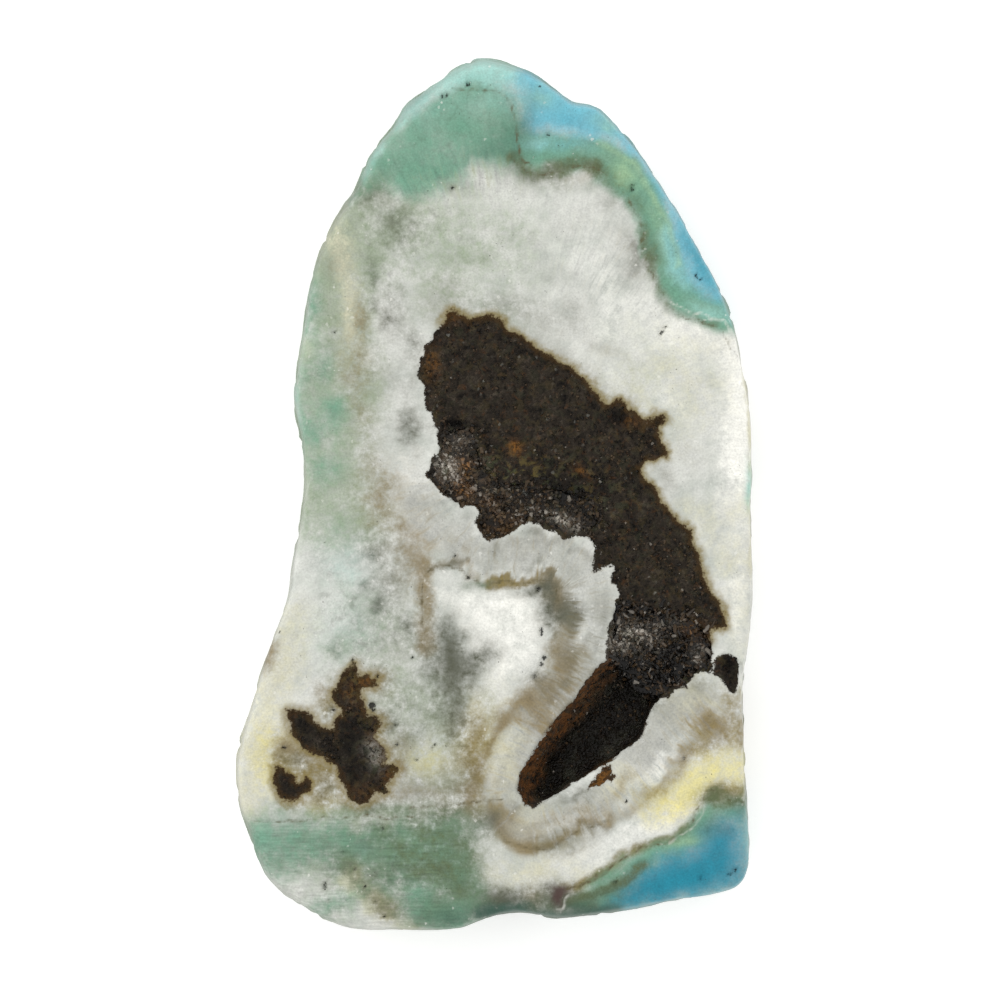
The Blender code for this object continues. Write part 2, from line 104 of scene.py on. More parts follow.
RUST_WEDGE = [(7.0, -21.9), (8.0, -20.4), (8.6, -20.3), (8.9, -21.1), (8.0, -21.5)]
EDGE_PIT = [
    (16.3, -12.9), (16.6, -12.3), (17.0, -11.9), (17.6, -12.1), (18.2, -12.9), (18.3, -13.6), (18.1, -14.4),
    (17.9, -15.0), (17.5, -14.8), (17.1, -13.8), (16.8, -13.5),
]
MATRIX_PATCHES = [MATRIX, LEFT_PATCH, LEFT_SPOT, RUST_WEDGE, EDGE_PIT]

# Hollows that the stone already has
VUG_NEAR_SIDE = [
    (9.6, -11.8), (8.7, -12.3), (7.4, -13.5), (6.2, -15.2), (4.6, -17.0), (3.3, -18.8), (2.1, -20.8), (1.75, -22.3),
]
VUG_FAR_SIDE = [
    (12.5, -14.7), (11.75, -15.6), (11.4, -16.2), (10.9, -17.9), (8.7, -19.7), (6.4, -21.0), (3.8, -22.6), (2.8, -23.3),
]
VUG = VUG_NEAR_SIDE + VUG_FAR_SIDE[::-1]
JUNCTION = [
    (9.1, -8.4), (12.0, -8.9), (14.6, -9.6), (15.8, -10.6), (15.9, -12.4), (14.6, -13.2), (13.0, -14.2),
    (11.8, -15.0), (10.2, -13.8), (9.2, -12.4), (9.1, -10.4),
]
LEDGE = [
    (-3.7, 4.4), (-1.8, 4.6), (-1.3, 2.4), (-0.2, 0.9), (2.0, 0.4), (4.4, 0.2), (7.0, -0.7), (7.6, -2.1),
    (6.6, -2.7), (4.6, -1.6), (2.8, -1.7), (1.4, -2.2), (0.0, -3.1), (-0.7, -2.4), (-1.0, -0.7), (-2.6, -0.6),
    (-3.8, 0.4), (-4.6, 1.4), (-3.8, 2.8),
]
BRANCH_HOLE = [(8.7, 5.4), (9.3, 6.0), (9.95, 5.4), (9.3, 4.8)]

# Growth lines on the face
CROWN_SEAM = [(-3.1, 30.1), (0.0, 29.9), (1.0, 29.2), (1.4, 28.2), (1.7, 26.7), (2.2, 24.9), (2.8, 24.5)]
RIND_SEAM = [
    (1.5, 24.7), (2.5, 24.0), (3.5, 23.8), (4.5, 24.0), (6.0, 24.4), (7.5, 24.2), (8.5, 23.5), (9.5, 22.5),
    (10.5, 21.2), (11.0, 19.8), (11.0, 18.5), (11.3, 17.2), (11.7, 16.2), (12.3, 15.0), (13.0, 13.9),
    (14.0, 13.2), (15.0, 12.9), (16.3, 12.5), (17.0, 12.0), (17.5, 11.0), (18.1, 10.2),
]
PALE_SEAM = [(7.7, 26.1), (9.7, 24.9), (11.0, 23.6), (12.0, 21.9), (12.8, 20.3), (13.2, 19.0), (13.6, 17.0)]
LOBE_SEAM = [
    (-5.0, -5.9), (-4.2, -5.5), (-3.2, -5.35), (-2.5, -5.6), (-2.0, -6.2), (-1.2, -6.5), (-0.3, -6.7), (1.0, -6.6),
    (2.4, -6.5), (3.4, -6.6), (4.2, -6.5), (4.6, -7.2), (4.7, -8.2),
]
LOBE_BAND = [
    (4.4, -7.2), (4.9, -8.2), (5.3, -9.5), (5.3, -10.8), (5.0, -12.2), (4.4, -13.6), (3.5, -14.9), (2.4, -15.8),
    (1.2, -16.7), (0.2, -17.9), (-0.7, -19.3), (-1.4, -20.6), (-1.9, -21.9), (-2.0, -22.8),
]
FOOT_BAND = [
    (-0.5, -23.5), (0.3, -25.0), (1.2, -26.0), (2.5, -26.4), (4.0, -26.3), (5.0, -25.9), (6.0, -25.4), (7.0, -24.9),
    (8.5, -24.3), (9.5, -23.9), (10.5, -23.2), (12.0, -22.0), (13.0, -21.0), (13.8, -19.8), (14.5, -18.5),
    (15.0, -17.5), (16.0, -17.0), (18.0, -17.5),
]
CORNER_SEAM = [
    (5.3, -29.4), (6.2, -29.2), (6.9, -28.8), (8.0, -28.2), (8.7, -27.7), (9.8, -26.9), (10.8, -26.3), (11.8, -26.2),
    (13.1, -25.8), (14.5, -24.6), (15.2, -23.4), (15.6, -22.4), (16.3, -22.1), (17.0, -22.4), (17.8, -22.9),
    (18.9, -22.8),
]
CORNER_BORDER = [(5.6, -30.4), (6.4, -30.0), (7.3, -29.8), (8.4, -29.3), (9.2, -28.9), (10.0, -28.5), (11.0, -27.6)]
FOOT_INNER = [(0.6, -23.8), (1.6, -25.0), (3.0, -25.5), (5.0, -25.1), (6.6, -24.5), (8.2, -23.8)]
SAW_STEP = [
    (-19.5, -24.45), (-18.5, -24.4), (-16.0, -24.3), (-14.5, -24.3), (-12.0, -24.1), (-10.0, -23.95), (-8.0, -24.1),
    (-6.0, -24.2),
]
CRACK = [(-6.5, -23.5), (-6.0, -23.4), (-5.0, -23.3), (-3.0, -23.2), (-2.0, -23.0), (-0.5, -22.8), (0.5, -22.7)]

# The middle of the stone's growth, and a smooth loop inside the matrix that the near fibres grow out from
HEART = (2.0, 4.0)
CORE = [
    (8.4, -9.0), (8.0, -5.4), (5.0, -3.2), (2.0, -2.8), (-1.0, -2.2), (-3.4, 0.6), (-4.2, 4.6), (-4.8, 9.0),
    (-3.2, 12.2), (0.4, 11.8), (4.6, 8.8), (9.0, 5.6), (11.0, 1.4), (13.6, -3.4), (15.6, -8.4), (15.2, -12.4),
    (11.6, -16.0), (8.4, -19.2), (4.4, -22.0), (2.2, -22.4), (3.4, -18.8), (6.4, -14.4),
]

# Places where the fibres show most
FIBROUS = [
    ("band", [(-5.5, -0.6), (-3.4, -3.0), (-1.0, -4.6), (1.5, -4.8), (4.2, -4.4), (6.4, -5.6), (7.0, -8.0), (7.0, -11.0)],
     1.2, 1.2, 1.0),
    ("band", [(6.0, -13.0), (4.0, -16.0), (1.8, -19.4), (0.6, -22.6), (1.6, -25.0), (4.4, -25.2), (8.0, -23.6),
              (11.0, -20.6), (13.0, -17.8), (15.6, -16.6)], 1.0, 1.2, 1.0),
    ("spot", (8.0, 17.0), (5.0, 4.0), 0, 0.6),
    ("spot", (-2.0, 23.4), (6.0, 1.8), 0, 1.2),
]

# Zones of colour on the face. An area is a loop, a softness and a strength; a band is a line, a half width,
# a softness and a strength; a spot is a place, its reach both ways, its turn in degrees and a strength.
ZONES = {
    "bright": [
        ("area", [
            (-4.2, -7.2), (-2.0, -7.4), (0.0, -7.3), (2.5, -7.0), (3.9, -7.6), (4.0, -9.3), (3.6, -11.0), (2.8, -12.4),
            (1.2, -13.8), (-0.3, -15.6), (-1.2, -17.0), (-1.4, -15.0), (-1.0, -13.0), (-2.2, -10.6), (-3.8, -8.8),
        ], 0.7, 0.6),
        ("spot", (18.3, 6.5), (1.1, 6.5), 0, 0.95),
        ("spot", (18.9, 4.5), (0.7, 6.0), 0, 0.8),
        ("area", [
            (6.0, -26.6), (9.0, -25.2), (12.0, -23.9), (14.0, -22.9), (14.5, -23.6), (13.0, -25.0), (10.5, -25.9),
            (8.0, -27.2), (6.0, -27.8),
        ], 0.8, 0.35),
        ("spot", (8.0, 13.0), (5.0, 5.0), 0, 0.2),
        ("spot", (11.0, -20.2), (2.2, 0.9), 35, 0.6),
        ("spot", (-6.2, 2.3), (1.3, 1.3), 0, 0.35),
        ("spot", (-5.6, -1.6), (1.0, 1.0), -40, 0.4),
        ("spot", (17.8, 5.0), (0.9, 7.0), 0, 0.7),
        ("spot", (14.2, 12.0), (3.0, 1.0), -15, 0.5),
        ("spot", (-8.2, 12.5), (1.0, 2.0), 0, 0.3),
        ("spot", (1.0, -28.5), (1.8, 1.2), 0, 0.4),
        ("spot", (18.0, -8.0), (0.9, 2.6), 0, 0.6),
        ("spot", (-17.2, -15.6), (0.9, 2.6), -20, 0.4),
        ("spot", (-7.4, 21.8), (0.9, 0.7), 0, 0.4),
        ("spot", (13.5, 10.8), (2.5, 1.4), 0, 0.35),
        ("spot", (13.0, 6.6), (1.4, 1.0), 0, 0.35),
        ("spot", (-10.2, 12.8), (0.7, 1.4), 0, 0.25),
        ("spot", (0.2, -14.8), (0.7, 1.6), 20, 0.4),
        ("spot", (-9.6, -12.8), (0.9, 0.7), 0, 0.3),
    ],
    "veil": [
        ("band", [(-5.5, -0.6), (-3.4, -3.0), (-1.0, -4.6), (1.5, -4.8), (4.2, -4.4), (6.0, -5.6)], 0.5, 1.4, 0.6),
        ("spot", (1.0, -4.0), (2.0, 0.7), 0, 0.7),
        ("band", [(2.8, -2.7), (4.4, -3.7), (6.0, -3.7), (7.2, -4.8)], 0.0, 0.8, 0.9),
        ("band", MATRIX[:16], 0.3, 1.9, 0.5),
        ("spot", (12.6, -16.6), (1.8, 1.0), 30, 0.6),
        ("spot", (7.8, -8.4), (1.0, 2.8), 0, 0.85),
        ("spot", (-5.9, 7.0), (0.5, 4.0), 0, 0.4),
        ("spot", (8.0, 11.0), (2.6, 0.8), -35, 0.4),
        ("spot", (15.0, -15.4), (2.6, 1.6), 0, 0.5),
        ("band", [(7.6, -12.0), (6.0, -14.0), (4.4, -16.0), (2.8, -18.2), (1.4, -20.6), (0.8, -23.0)], 0.4, 1.2, 0.6),
        ("band", [(1.6, -24.2), (4.0, -24.0), (7.0, -23.0), (9.4, -21.4), (10.6, -19.4), (12.6, -17.6), (14.4, -15.6)],
         0.5, 1.2, 0.65),
        ("spot", (-4.0, 15.0), (1.9, 1.3), 20, 0.75),
        ("spot", (3.0, 13.0), (2.6, 1.0), -25, 0.6),
        ("spot", (12.6, 1.2), (0.9, 1.8), 25, 0.75),
        ("spot", (-9.0, -10.0), (2.4, 2.6), 0, 0.6),
        ("spot", (-7.0, -12.4), (1.4, 1.6), 0, 0.4),
        ("spot", (-6.6, -19.2), (1.5, 2.8), 0, 0.75),
        ("spot", (-5.6, -22.2), (3.2, 0.9), 3, 0.9),
        ("spot", (-2.6, -21.6), (1.2, 1.2), 0, 0.5),
        ("spot", (-9.0, 3.0), (1.2, 2.0), 0, 0.4),
        ("spot", (-8.2, 8.6), (1.0, 2.4), 0, 0.3),
        ("spot", (16.2, -15.0), (1.6, 1.0), 0, 0.4),
        ("spot", (0.5, -25.2), (1.2, 0.9), -30, 0.5),
        ("spot", (5.5, 20.0), (3.5, 1.0), 30, 0.1),
        ("spot", (9.6, 18.0), (1.2, 2.4), 15, 0.5),
        ("spot", (14.6, 3.0), (1.4, 1.6), 0, 0.25),
    ],
    "sage": [
        ("area", [
            (-13.5, 21.0), (-10.0, 22.5), (-8.6, 21.0), (-8.8, 17.5), (-9.3, 14.0), (-9.6, 10.0), (-9.6, 6.0),
            (-9.2, 2.0), (-8.0, -1.0), (-8.5, -2.4), (-9.5, -3.4), (-15.5, -3.2), (-15.2, 0.0), (-15.7, 7.0),
            (-14.8, 13.0), (-13.8, 18.0),
        ], 2.2, 0.72),
        ("spot", (-6.0, 18.5), (4.5, 3.5), 0, 0.4),
        ("band", [(-5.8, 22.6), (-7.0, 20.5), (-8.9, 17.8)], 0.2, 1.1, 0.65),
        ("spot", (-12.0, 17.8), (1.8, 3.4), 0, 0.75),
        ("spot", (-9.0, 22.6), (1.6, 0.9), 30, 0.7),
        ("spot", (-10.4, 6.5), (1.2, 2.6), 0, 0.4),
        ("spot", (-9.9, 12.6), (0.6, 2.6), 0, 0.5),
        ("spot", (-5.0, -19.6), (2.4, 2.0), 0, 0.4),
        ("spot", (-13.0, -31.2), (3.4, 0.9), 20, 0.5),
        ("spot", (-2.0, 17.0), (5.5, 4.0), 0, 0.42),
        ("spot", (0.5, 20.5), (5.0, 2.8), 0, 0.12),
        ("spot", (-4.0, 20.6), (1.6, 1.0), 0, 0.3),
        ("spot", (-8.9, 8.0), (1.2, 2.2), 0, 0.4),
        ("spot", (-9.6, 21.4), (2.0, 1.2), 20, 0.4),
        ("spot", (-9.0, -28.0), (6.5, 2.6), 0, 0.45),
        ("spot", (-6.8, -26.8), (2.6, 2.0), 0, 0.35),
        ("spot", (-8.0, -8.5), (3.0, 3.0), 0, 0.25),
        ("spot", (-12.0, -8.0), (2.5, 2.0), 0, 0.15),
        ("spot", (-11.6, -11.6), (1.4, 1.0), 0, 0.4),
        ("spot", (-9.0, -12.0), (4.0, 3.0), 0, 0.12),
        ("spot", (-6.5, -15.5), (3.0, 4.0), 0, 0.4),
        ("spot", (-0.6, -14.6), (0.9, 2.4), 25, 0.2),
        ("spot", (-3.6, -16.4), (1.2, 2.6), 0, 0.7),
        ("spot", (12.0, 9.0), (4.0, 4.0), 0, 0.12),
        ("spot", (-9.0, -23.6), (8.0, 0.6), 0, 0.8),
        ("spot", (-3.0, -21.5), (2.0, 1.2), 0, 0.3),
        ("spot", (-12.4, -28.8), (2.4, 1.0), -15, 0.35),
        ("spot", (-2.2, 23.6), (3.4, 1.0), 0, 0.5),
    ],
    "cream": [
        ("area", [
            (-15.4, -8.5), (-17.0, -12.5), (-18.6, -17.0), (-19.6, -21.0), (-19.2, -24.0), (-17.2, -23.9),
            (-16.4, -19.0), (-14.6, -14.0), (-13.8, -10.0),
        ], 1.8, 0.65),
        ("spot", (-11.0, 14.0), (0.8, 3.6), 0, 0.8),
        ("spot", (-11.7, 18.4), (1.0, 1.8), 0, 0.4),
        ("spot", (-14.2, 10.6), (0.6, 0.9), 0, 0.7),
        ("spot", (13.0, 8.5), (4.5, 4.5), 0, 0.25),
        ("area", [
            (13.8, -1.0), (16.5, -1.0), (19.6, 0.0), (19.6, -8.0), (19.2, -12.0), (17.6, -10.5), (16.8, -7.5),
            (15.6, -4.0),
        ], 1.4, 0.3),
        ("band", [(18.6, 10.0), (19.0, 5.0), (19.2, 0.0), (19.1, -6.0)], 0.0, 0.4, 0.9),
        ("spot", (-5.0, -20.0), (2.2, 2.2), 0, 0.4),
        ("spot", (-1.0, -17.5), (2.5, 3.0), 0, 0.5),
        ("spot", (3.0, -28.2), (4.0, 1.3), 0, 0.6),
        ("spot", (15.5, -15.0), (3.0, 2.0), 0, 0.35),
        ("spot", (2.0, -24.6), (2.0, 1.2), 0, 0.4),
        ("band", [(-10.8, -28.6), (-9.4, -30.0), (-7.6, -31.4), (-6.4, -32.4)], 0.3, 1.0, 0.75),
        ("spot", (0.5, -19.5), (1.6, 3.0), 0, 0.5),
        ("spot", (9.0, -21.6), (1.8, 1.0), 40, 0.5),
        ("spot", (-17.2, -19.7), (0.7, 2.4), 0, 0.4),
    ],
    "honey": [
        ("area", [
            (10.5, -22.8), (12.5, -22.0), (14.2, -20.2), (16.0, -19.2), (19.4, -19.4), (19.4, -22.0), (17.0, -21.4),
            (15.2, -22.0), (14.3, -23.6), (12.5, -24.6), (11.2, -24.4),
        ], 1.0, 0.55),
        ("spot", (14.4, -22.2), (0.9, 1.6), -40, 0.75),
        ("spot", (16.2, -20.9), (1.2, 0.6), 10, 0.4),
        ("spot", (-15.3, -19.0), (1.6, 1.4), 0, 0.45),
        ("spot", (-1.4, -18.2), (1.3, 1.8), 10, 0.45),
        ("spot", (17.4, -21.9), (1.3, 0.5), 0, 0.5),
        ("spot", (-12.3, -22.8), (1.5, 1.0), 0, 0.4),
        ("spot", (-17.2, -19.0), (0.8, 2.4), 0, 0.5),
        ("spot", (-4.4, -20.2), (1.6, 1.2), 0, 0.2),
        ("spot", (-16.6, -20.4), (0.9, 1.4), 0, 0.45),
        ("spot", (12.0, -21.8), (1.0, 1.0), 0, 0.35),
        ("spot", (8.4, -29.2), (1.6, 0.4), 20, 0.4),
        ("spot", (18.0, -18.5), (0.8, 1.6), 0, 0.3),
    ],
    "tan": [
        ("spot", (-8.3, -0.5), (1.6, 3.2), 0, 0.5),
        ("spot", (-6.0, -3.0), (1.7, 1.9), 0, 0.6),
        ("band", [(-5.2, -5.2), (-5.1, -7.4), (-5.0, -9.6), (-4.9, -11.4)], 0.2, 0.9, 0.8),
        ("spot", (-6.2, -4.6), (1.6, 2.2), 0, 0.5),
        ("band", LOBE_BAND[:5], 0.2, 1.3, 0.68),
        ("area", [
            (4.2, -11.6), (5.6, -11.8), (7.0, -12.8), (6.6, -14.2), (5.4, -16.2), (4.0, -17.6), (2.6, -17.4),
            (2.6, -15.6), (3.8, -14.0), (4.6, -12.6),
        ], 1.1, 0.6),
        ("band", LOBE_BAND[4:9], 0.4, 1.2, 0.6),
        ("band", LOBE_BAND[7:], 0.05, 0.6, 0.65),
        ("spot", (-1.2, -18.4), (1.2, 2.0), 0, 0.5),
        ("spot", (17.8, -18.4), (1.4, 0.7), 0, 0.5),
        ("spot", (-13.4, -20.6), (1.6, 1.4), 0, 0.35),
        ("spot", (-2.6, -23.7), (2.6, 0.8), 0, 0.55),
        ("band", [(7.5, -28.9), (9.0, -28.1), (10.4, -27.2)], 0.1, 0.5, 0.45),
        ("band", LOBE_SEAM[:6], 0.0, 0.5, 0.6),
        ("band", LOBE_SEAM[6:], 0.2, 0.45, 0.75),
        ("spot", (0.2, -17.6), (1.0, 1.6), -40, 0.3),
        ("spot", (2.6, -15.4), (1.6, 0.8), 40, 0.4),
        ("spot", (-1.6, -20.4), (0.7, 2.0), 8, 0.5),
        ("band", FOOT_BAND[:9], 0.1, 0.7, 0.8),
        ("band", FOOT_INNER, 0.3, 1.3, 0.4),
        ("band", FOOT_BAND[9:], 0.1, 0.8, 0.35),
        ("spot", (16.8, -17.2), (2.0, 1.3), 0, 0.8),
        ("spot", (15.2, -16.8), (1.0, 0.8), 30, 0.5),
        ("spot", (14.2, -19.6), (0.7, 1.6), -40, 0.5),
        ("spot", (-1.2, -21.8), (1.5, 1.0), 0, 0.4),
        ("spot", (1.2, -23.2), (0.9, 0.8), 0, 0.4),
        ("spot", (-15.4, -19.0), (1.3, 1.2), 0, 0.85),
        ("band", LEFT_PATCH + LEFT_PATCH[:1], 0.0, 1.1, 0.5),
        ("spot", (-12.6, -22.6), (1.2, 0.9), 0, 0.5),
        ("spot", (-12.6, -14.6), (0.8, 0.9), 0, 0.4),
        ("spot", (-8.4, -14.2), (0.9, 0.9), 0, 0.5),
        ("spot", (-7.0, -19.6), (0.8, 1.8), 0, 0.35),
        ("spot", (-6.0, -22.4), (3.4, 0.6), 3, 0.3),
        ("band", [(-10.8, -27.6), (-10.0, -28.8), (-8.8, -30.0), (-8.0, -31.0)], 0.2, 1.0, 0.7),
        ("spot", (3.6, -14.8), (1.2, 1.2), 0, 0.35),
        ("spot", (17.2, -21.9), (1.4, 0.5), 0, 0.45),
        ("spot", (9.4, -21.6), (1.2, 0.5), 40, 0.4),
        ("band", CORNER_SEAM[:10], 0.15, 0.55, 0.75),
        ("spot", (-10.2, 8.0), (1.2, 3.5), 0, 0.35),
        ("spot", (-10.0, 12.9), (0.5, 1.6), 0, 0.5),
        ("spot", (17.3, -8.9), (0.4, 1.0), 0, 0.5),
        ("spot", (-16.9, -12.2), (0.6, 1.4), -20, 0.8),
        ("spot", (3.0, -30.2), (1.6, 0.8), 0, 0.55),
        ("spot", (0.4, -24.3), (0.7, 0.9), -30, 0.6),
        ("spot", (-9.6, 22.9), (0.7, 0.5), 40, 0.6),
        ("spot", (-3.4, 22.7), (0.5, 0.4), 0, 0.5),
        ("spot", (6.2, 24.0), (3.8, 0.6), 0, 0.2),
    ],
    "olive": [
        ("spot", (-13.3, -20.8), (1.7, 1.2), 0, 0.6),
        ("spot", (-12.2, -22.2), (1.0, 0.9), 0, 0.6),
        ("spot", (-15.2, -19.6), (1.2, 1.0), 0, 0.5),
        ("spot", (-12.6, -15.8), (0.7, 0.9), 0, 0.45),
        ("spot", (-1.6, -19.6), (1.2, 3.0), 5, 0.45),
        ("spot", (-0.9, -17.4), (1.0, 1.2), 0, 0.3),
        ("spot", (17.6, -17.6), (1.6, 1.8), 0, 0.35),
        ("spot", (15.4, -18.4), (1.4, 1.4), -40, 0.3),
        ("spot", (17.6, -15.2), (1.0, 0.8), 0, 0.5),
        ("spot", (16.8, -22.4), (1.8, 0.7), 0, 0.75),
        ("spot", (17.6, -23.3), (1.2, 0.6), 0, 0.45),
        ("band", CORNER_SEAM[1:10], 0.05, 0.5, 0.7),
        ("band", LOBE_SEAM[6:10], 0.2, 0.3, 0.6),
        ("spot", (-1.2, -23.6), (1.6, 0.9), 0, 0.4),
        ("spot", (5.2, -26.5), (1.4, 0.6), 10, 0.5),
        ("spot", (-7.0, -25.6), (4.4, 1.4), 0, 0.4),
        ("spot", (-8.8, -30.6), (1.6, 1.4), -40, 0.15),
        ("spot", (12.0, -22.0), (1.4, 0.7), 30, 0.3),
        ("spot", (-3.0, -28.4), (1.6, 2.4), 0, 0.3),
        ("spot", (3.6, -30.9), (1.6, 0.5), 0, 0.4),
        ("spot", (15.8, -18.6), (1.0, 1.2), 0, 0.4),
        ("spot", (5.0, -25.8), (2.0, 0.6), 15, 0.45),
        ("spot", (-12.4, -21.4), (1.3, 1.2), 0, 0.35),
    ],
    "smoke": [
        ("spot", (1.6, 26.8), (1.4, 1.8), 0, 0.35),
        ("spot", (-9.8, 21.6), (1.8, 1.0), 20, 0.35),
        ("spot", (-7.2, 20.2), (1.2, 2.0), 0, 0.28),
        ("spot", (-7.4, 13.0), (0.9, 2.0), 0, 0.4),
        ("spot", (-5.9, 11.2), (0.6, 1.2), 0, 0.35),
        ("spot", (10.4, 17.0), (0.7, 1.0), 10, 0.3),
        ("spot", (-6.1, 5.2), (0.6, 1.2), 0, 0.3),
        ("spot", (-9.0, -4.6), (1.6, 1.6), 0, 0.28),
        ("spot", (-7.6, -7.2), (1.4, 1.8), 0, 0.28),
        ("spot", (-4.6, -13.6), (1.1, 2.4), 0, 0.45),
        ("spot", (-0.7, -11.8), (0.6, 1.2), 20, 0.4),
        ("spot", (-2.9, -18.0), (1.0, 2.4), 0, 0.45),
        ("spot", (-7.0, -17.0), (1.6, 1.6), 0, 0.25),
        ("spot", (-3.2, -21.0), (2.4, 1.6), 0, 0.18),
        ("spot", (-4.0, -23.7), (2.6, 0.8), 0, 0.35),
        ("spot", (-1.0, -24.8), (1.6, 0.9), 0, 0.4),
        ("spot", (-7.0, -25.6), (3.4, 1.2), 0, 0.25),
        ("spot", (-6.6, -28.7), (1.8, 1.8), 0, 0.45),
        ("spot", (-11.6, -28.2), (1.6, 0.9), -30, 0.25),
        ("spot", (-12.0, -30.6), (2.4, 0.9), 15, 0.2),
        ("spot", (8.3, -10.4), (0.6, 2.0), 0, 0.4),
        ("spot", (12.0, -15.9), (1.2, 0.7), 30, 0.45),
        ("spot", (5.0, -14.0), (1.2, 2.2), -30, 0.3),
        # A broad, faint darkening over the lower part of the face
        ("spot", (-4.0, -18.0), (9.0, 9.0), 0, 0.06),
        ("spot", (4.0, -6.8), (0.8, 0.45), 0, 0.8),
        ("spot", (3.3, -7.0), (0.3, 0.25), 0, 0.7),
        ("spot", (4.2, -7.8), (0.5, 0.9), 0, 0.6),
        ("spot", (5.0, -8.6), (0.7, 1.4), 0, 0.4),
        ("spot", (0.2, -4.3), (0.6, 1.0), 0, 0.25),
        ("spot", (-3.2, -12.4), (1.0, 2.8), 5, 0.95),
        ("spot", (-2.0, -13.0), (1.2, 2.4), 20, 0.4),
        ("spot", (-2.6, -16.4), (1.0, 1.8), 0, 0.5),
        ("spot", (-2.6, -12.0), (0.6, 1.2), 20, 0.6),
        ("spot", (-1.6, -12.6), (0.6, 1.0), 20, 0.55),
        ("spot", (-3.6, -15.6), (0.7, 2.0), 0, 0.45),
        ("spot", (-3.4, -9.6), (0.7, 0.9), 0, 0.45),
        ("spot", (5.5, -9.0), (0.8, 1.5), 5, 0.6),
        ("spot", (5.9, -10.2), (0.5, 1.0), 0, 0.4),
        ("spot", (-6.7, 4.8), (0.5, 1.0), 0, 0.65),
        ("spot", (-9.6, -6.8), (0.8, 0.6), 20, 0.5),
        ("spot", (-8.3, -8.5), (0.6, 0.5), 0, 0.75),
        ("spot", (-10.1, -9.7), (0.7, 0.6), 0, 0.2),
        ("spot", (-11.9, -11.5), (0.6, 0.7), 0, 0.3),
        ("spot", (-6.4, -9.8), (0.8, 0.8), 0, 0.35),
        ("spot", (-7.0, -11.2), (0.9, 0.6), 0, 0.3),
        ("spot", (10.3, 18.2), (0.6, 1.2), 20, 0.35),
        ("spot", (-9.0, 16.6), (0.5, 1.0), 0, 0.45),
        ("spot", (-8.1, 13.1), (0.6, 0.7), 0, 0.45),
        ("spot", (-9.0, 14.0), (0.4, 0.5), 0, 0.35),
        ("spot", (3.4, 23.8), (1.8, 0.6), 0, 0.5),
        ("spot", (-0.3, -24.4), (1.2, 0.8), 20, 0.6),
        ("spot", (7.3, -11.0), (0.6, 1.4), 0, 0.25),
        # These three spots darken the face along its lower edge: painted edge shade
        ("spot", (5.0, -30.2), (1.4, 0.6), 0, 0.6),
        ("spot", (0.6, -30.3), (2.6, 1.1), 0, 1.0),
        ("spot", (-4.2, -31.2), (2.6, 0.9), 0, 0.7),
        ("spot", (-9.6, -26.4), (2.2, 0.9), 0, 0.25),
        ("spot", (-3.3, -26.0), (1.2, 1.6), 0, 0.35),
        ("spot", (-8.5, -23.4), (3.4, 0.5), 0, 0.3),
        ("spot", (-8.8, 22.8), (1.2, 0.8), 0, 0.25),
        ("spot", (1.2, 25.6), (0.9, 1.6), 0, 0.4),
        ("spot", (-5.2, 24.2), (1.4, 0.6), 0, 0.3),
        ("spot", (1.0, 14.2), (3.2, 0.9), 0, 0.25),
        ("spot", (6.0, 13.8), (1.4, 1.6), 0, 0.25),
        ("spot", (4.5, 16.0), (2.0, 1.0), 0, 0.12),
        ("spot", (-11.8, 11.0), (1.0, 2.0), 0, 0.12),
        ("spot", (-14.0, 14.6), (0.8, 1.6), 0, 0.15),
        ("spot", (-12.0, 17.0), (1.2, 1.0), 0, 0.15),
        ("spot", (-7.0, 5.2), (1.3, 0.9), 0, 0.25),
        ("spot", (-7.0, 8.6), (1.0, 1.6), 0, 0.15),
        ("spot", (-7.0, 19.4), (1.6, 1.6), 0, 0.15),
        ("spot", (10.1, 16.6), (0.6, 1.0), 0, 0.3),
        ("spot", (14.8, -14.3), (1.6, 0.6), 0, 0.18),
        ("spot", (3.8, -9.2), (0.7, 1.6), 0, 0.4),
        ("spot", (2.6, -7.3), (1.0, 0.5), 0, 0.4),
        ("spot", (-0.2, -11.6), (0.9, 0.8), 0, 0.5),
        ("spot", (-1.9, -10.2), (0.8, 0.9), 0, 0.4),
        ("spot", (-2.2, -13.2), (0.8, 1.0), 0, 0.3),
        ("spot", (3.4, -13.6), (1.0, 0.8), -30, 0.35),
        ("spot", (-3.0, -15.2), (0.8, 1.6), 0, 0.35),
        ("spot", (6.4, -7.8), (0.9, 1.0), 0, 0.2),
        ("spot", (-12.3, -21.6), (1.4, 1.2), 0, 0.35),
        ("spot", (-15.0, -19.6), (1.0, 0.8), 0, 0.2),
        ("spot", (-15.0, -23.3), (1.2, 0.7), 0, 0.25),
        ("spot", (-9.5, -23.4), (1.0, 0.7), 0, 0.2),
        ("spot", (6.2, -22.5), (1.6, 0.6), 35, 0.35),
        ("spot", (1.6, -22.9), (0.6, 0.7), 0, 0.3),
        ("spot", (4.6, -25.6), (1.6, 0.6), 15, 0.35),
        # Painted edge shade along the lower edge
        ("spot", (3.6, -30.6), (1.2, 0.8), 0, 0.6),
        ("spot", (2.8, -7.4), (1.4, 0.6), 0, 0.35),
        ("spot", (3.9, -9.2), (0.7, 1.4), 0, 0.35),
        ("spot", (6.0, -8.6), (0.7, 1.2), 0, 0.22),
        ("spot", (-1.4, -12.8), (0.8, 0.8), 0, 0.35),
        ("spot", (3.6, -13.9), (0.9, 0.9), 0, 0.35),
        ("spot", (-2.6, -15.0), (0.8, 1.1), 0, 0.45),
        ("spot", (-3.0, -17.4), (0.8, 0.8), 0, 0.3),
        ("spot", (-3.4, -5.5), (1.2, 0.35), 0, 0.5),
        ("spot", (3.0, -5.5), (0.9, 0.4), 0, 0.35),
        ("spot", (2.6, -3.0), (1.0, 0.5), 0, 0.4),
        ("spot", (-9.2, -4.2), (1.4, 1.2), 0, 0.15),
        ("spot", (-12.6, -5.2), (1.6, 1.2), 0, 0.12),
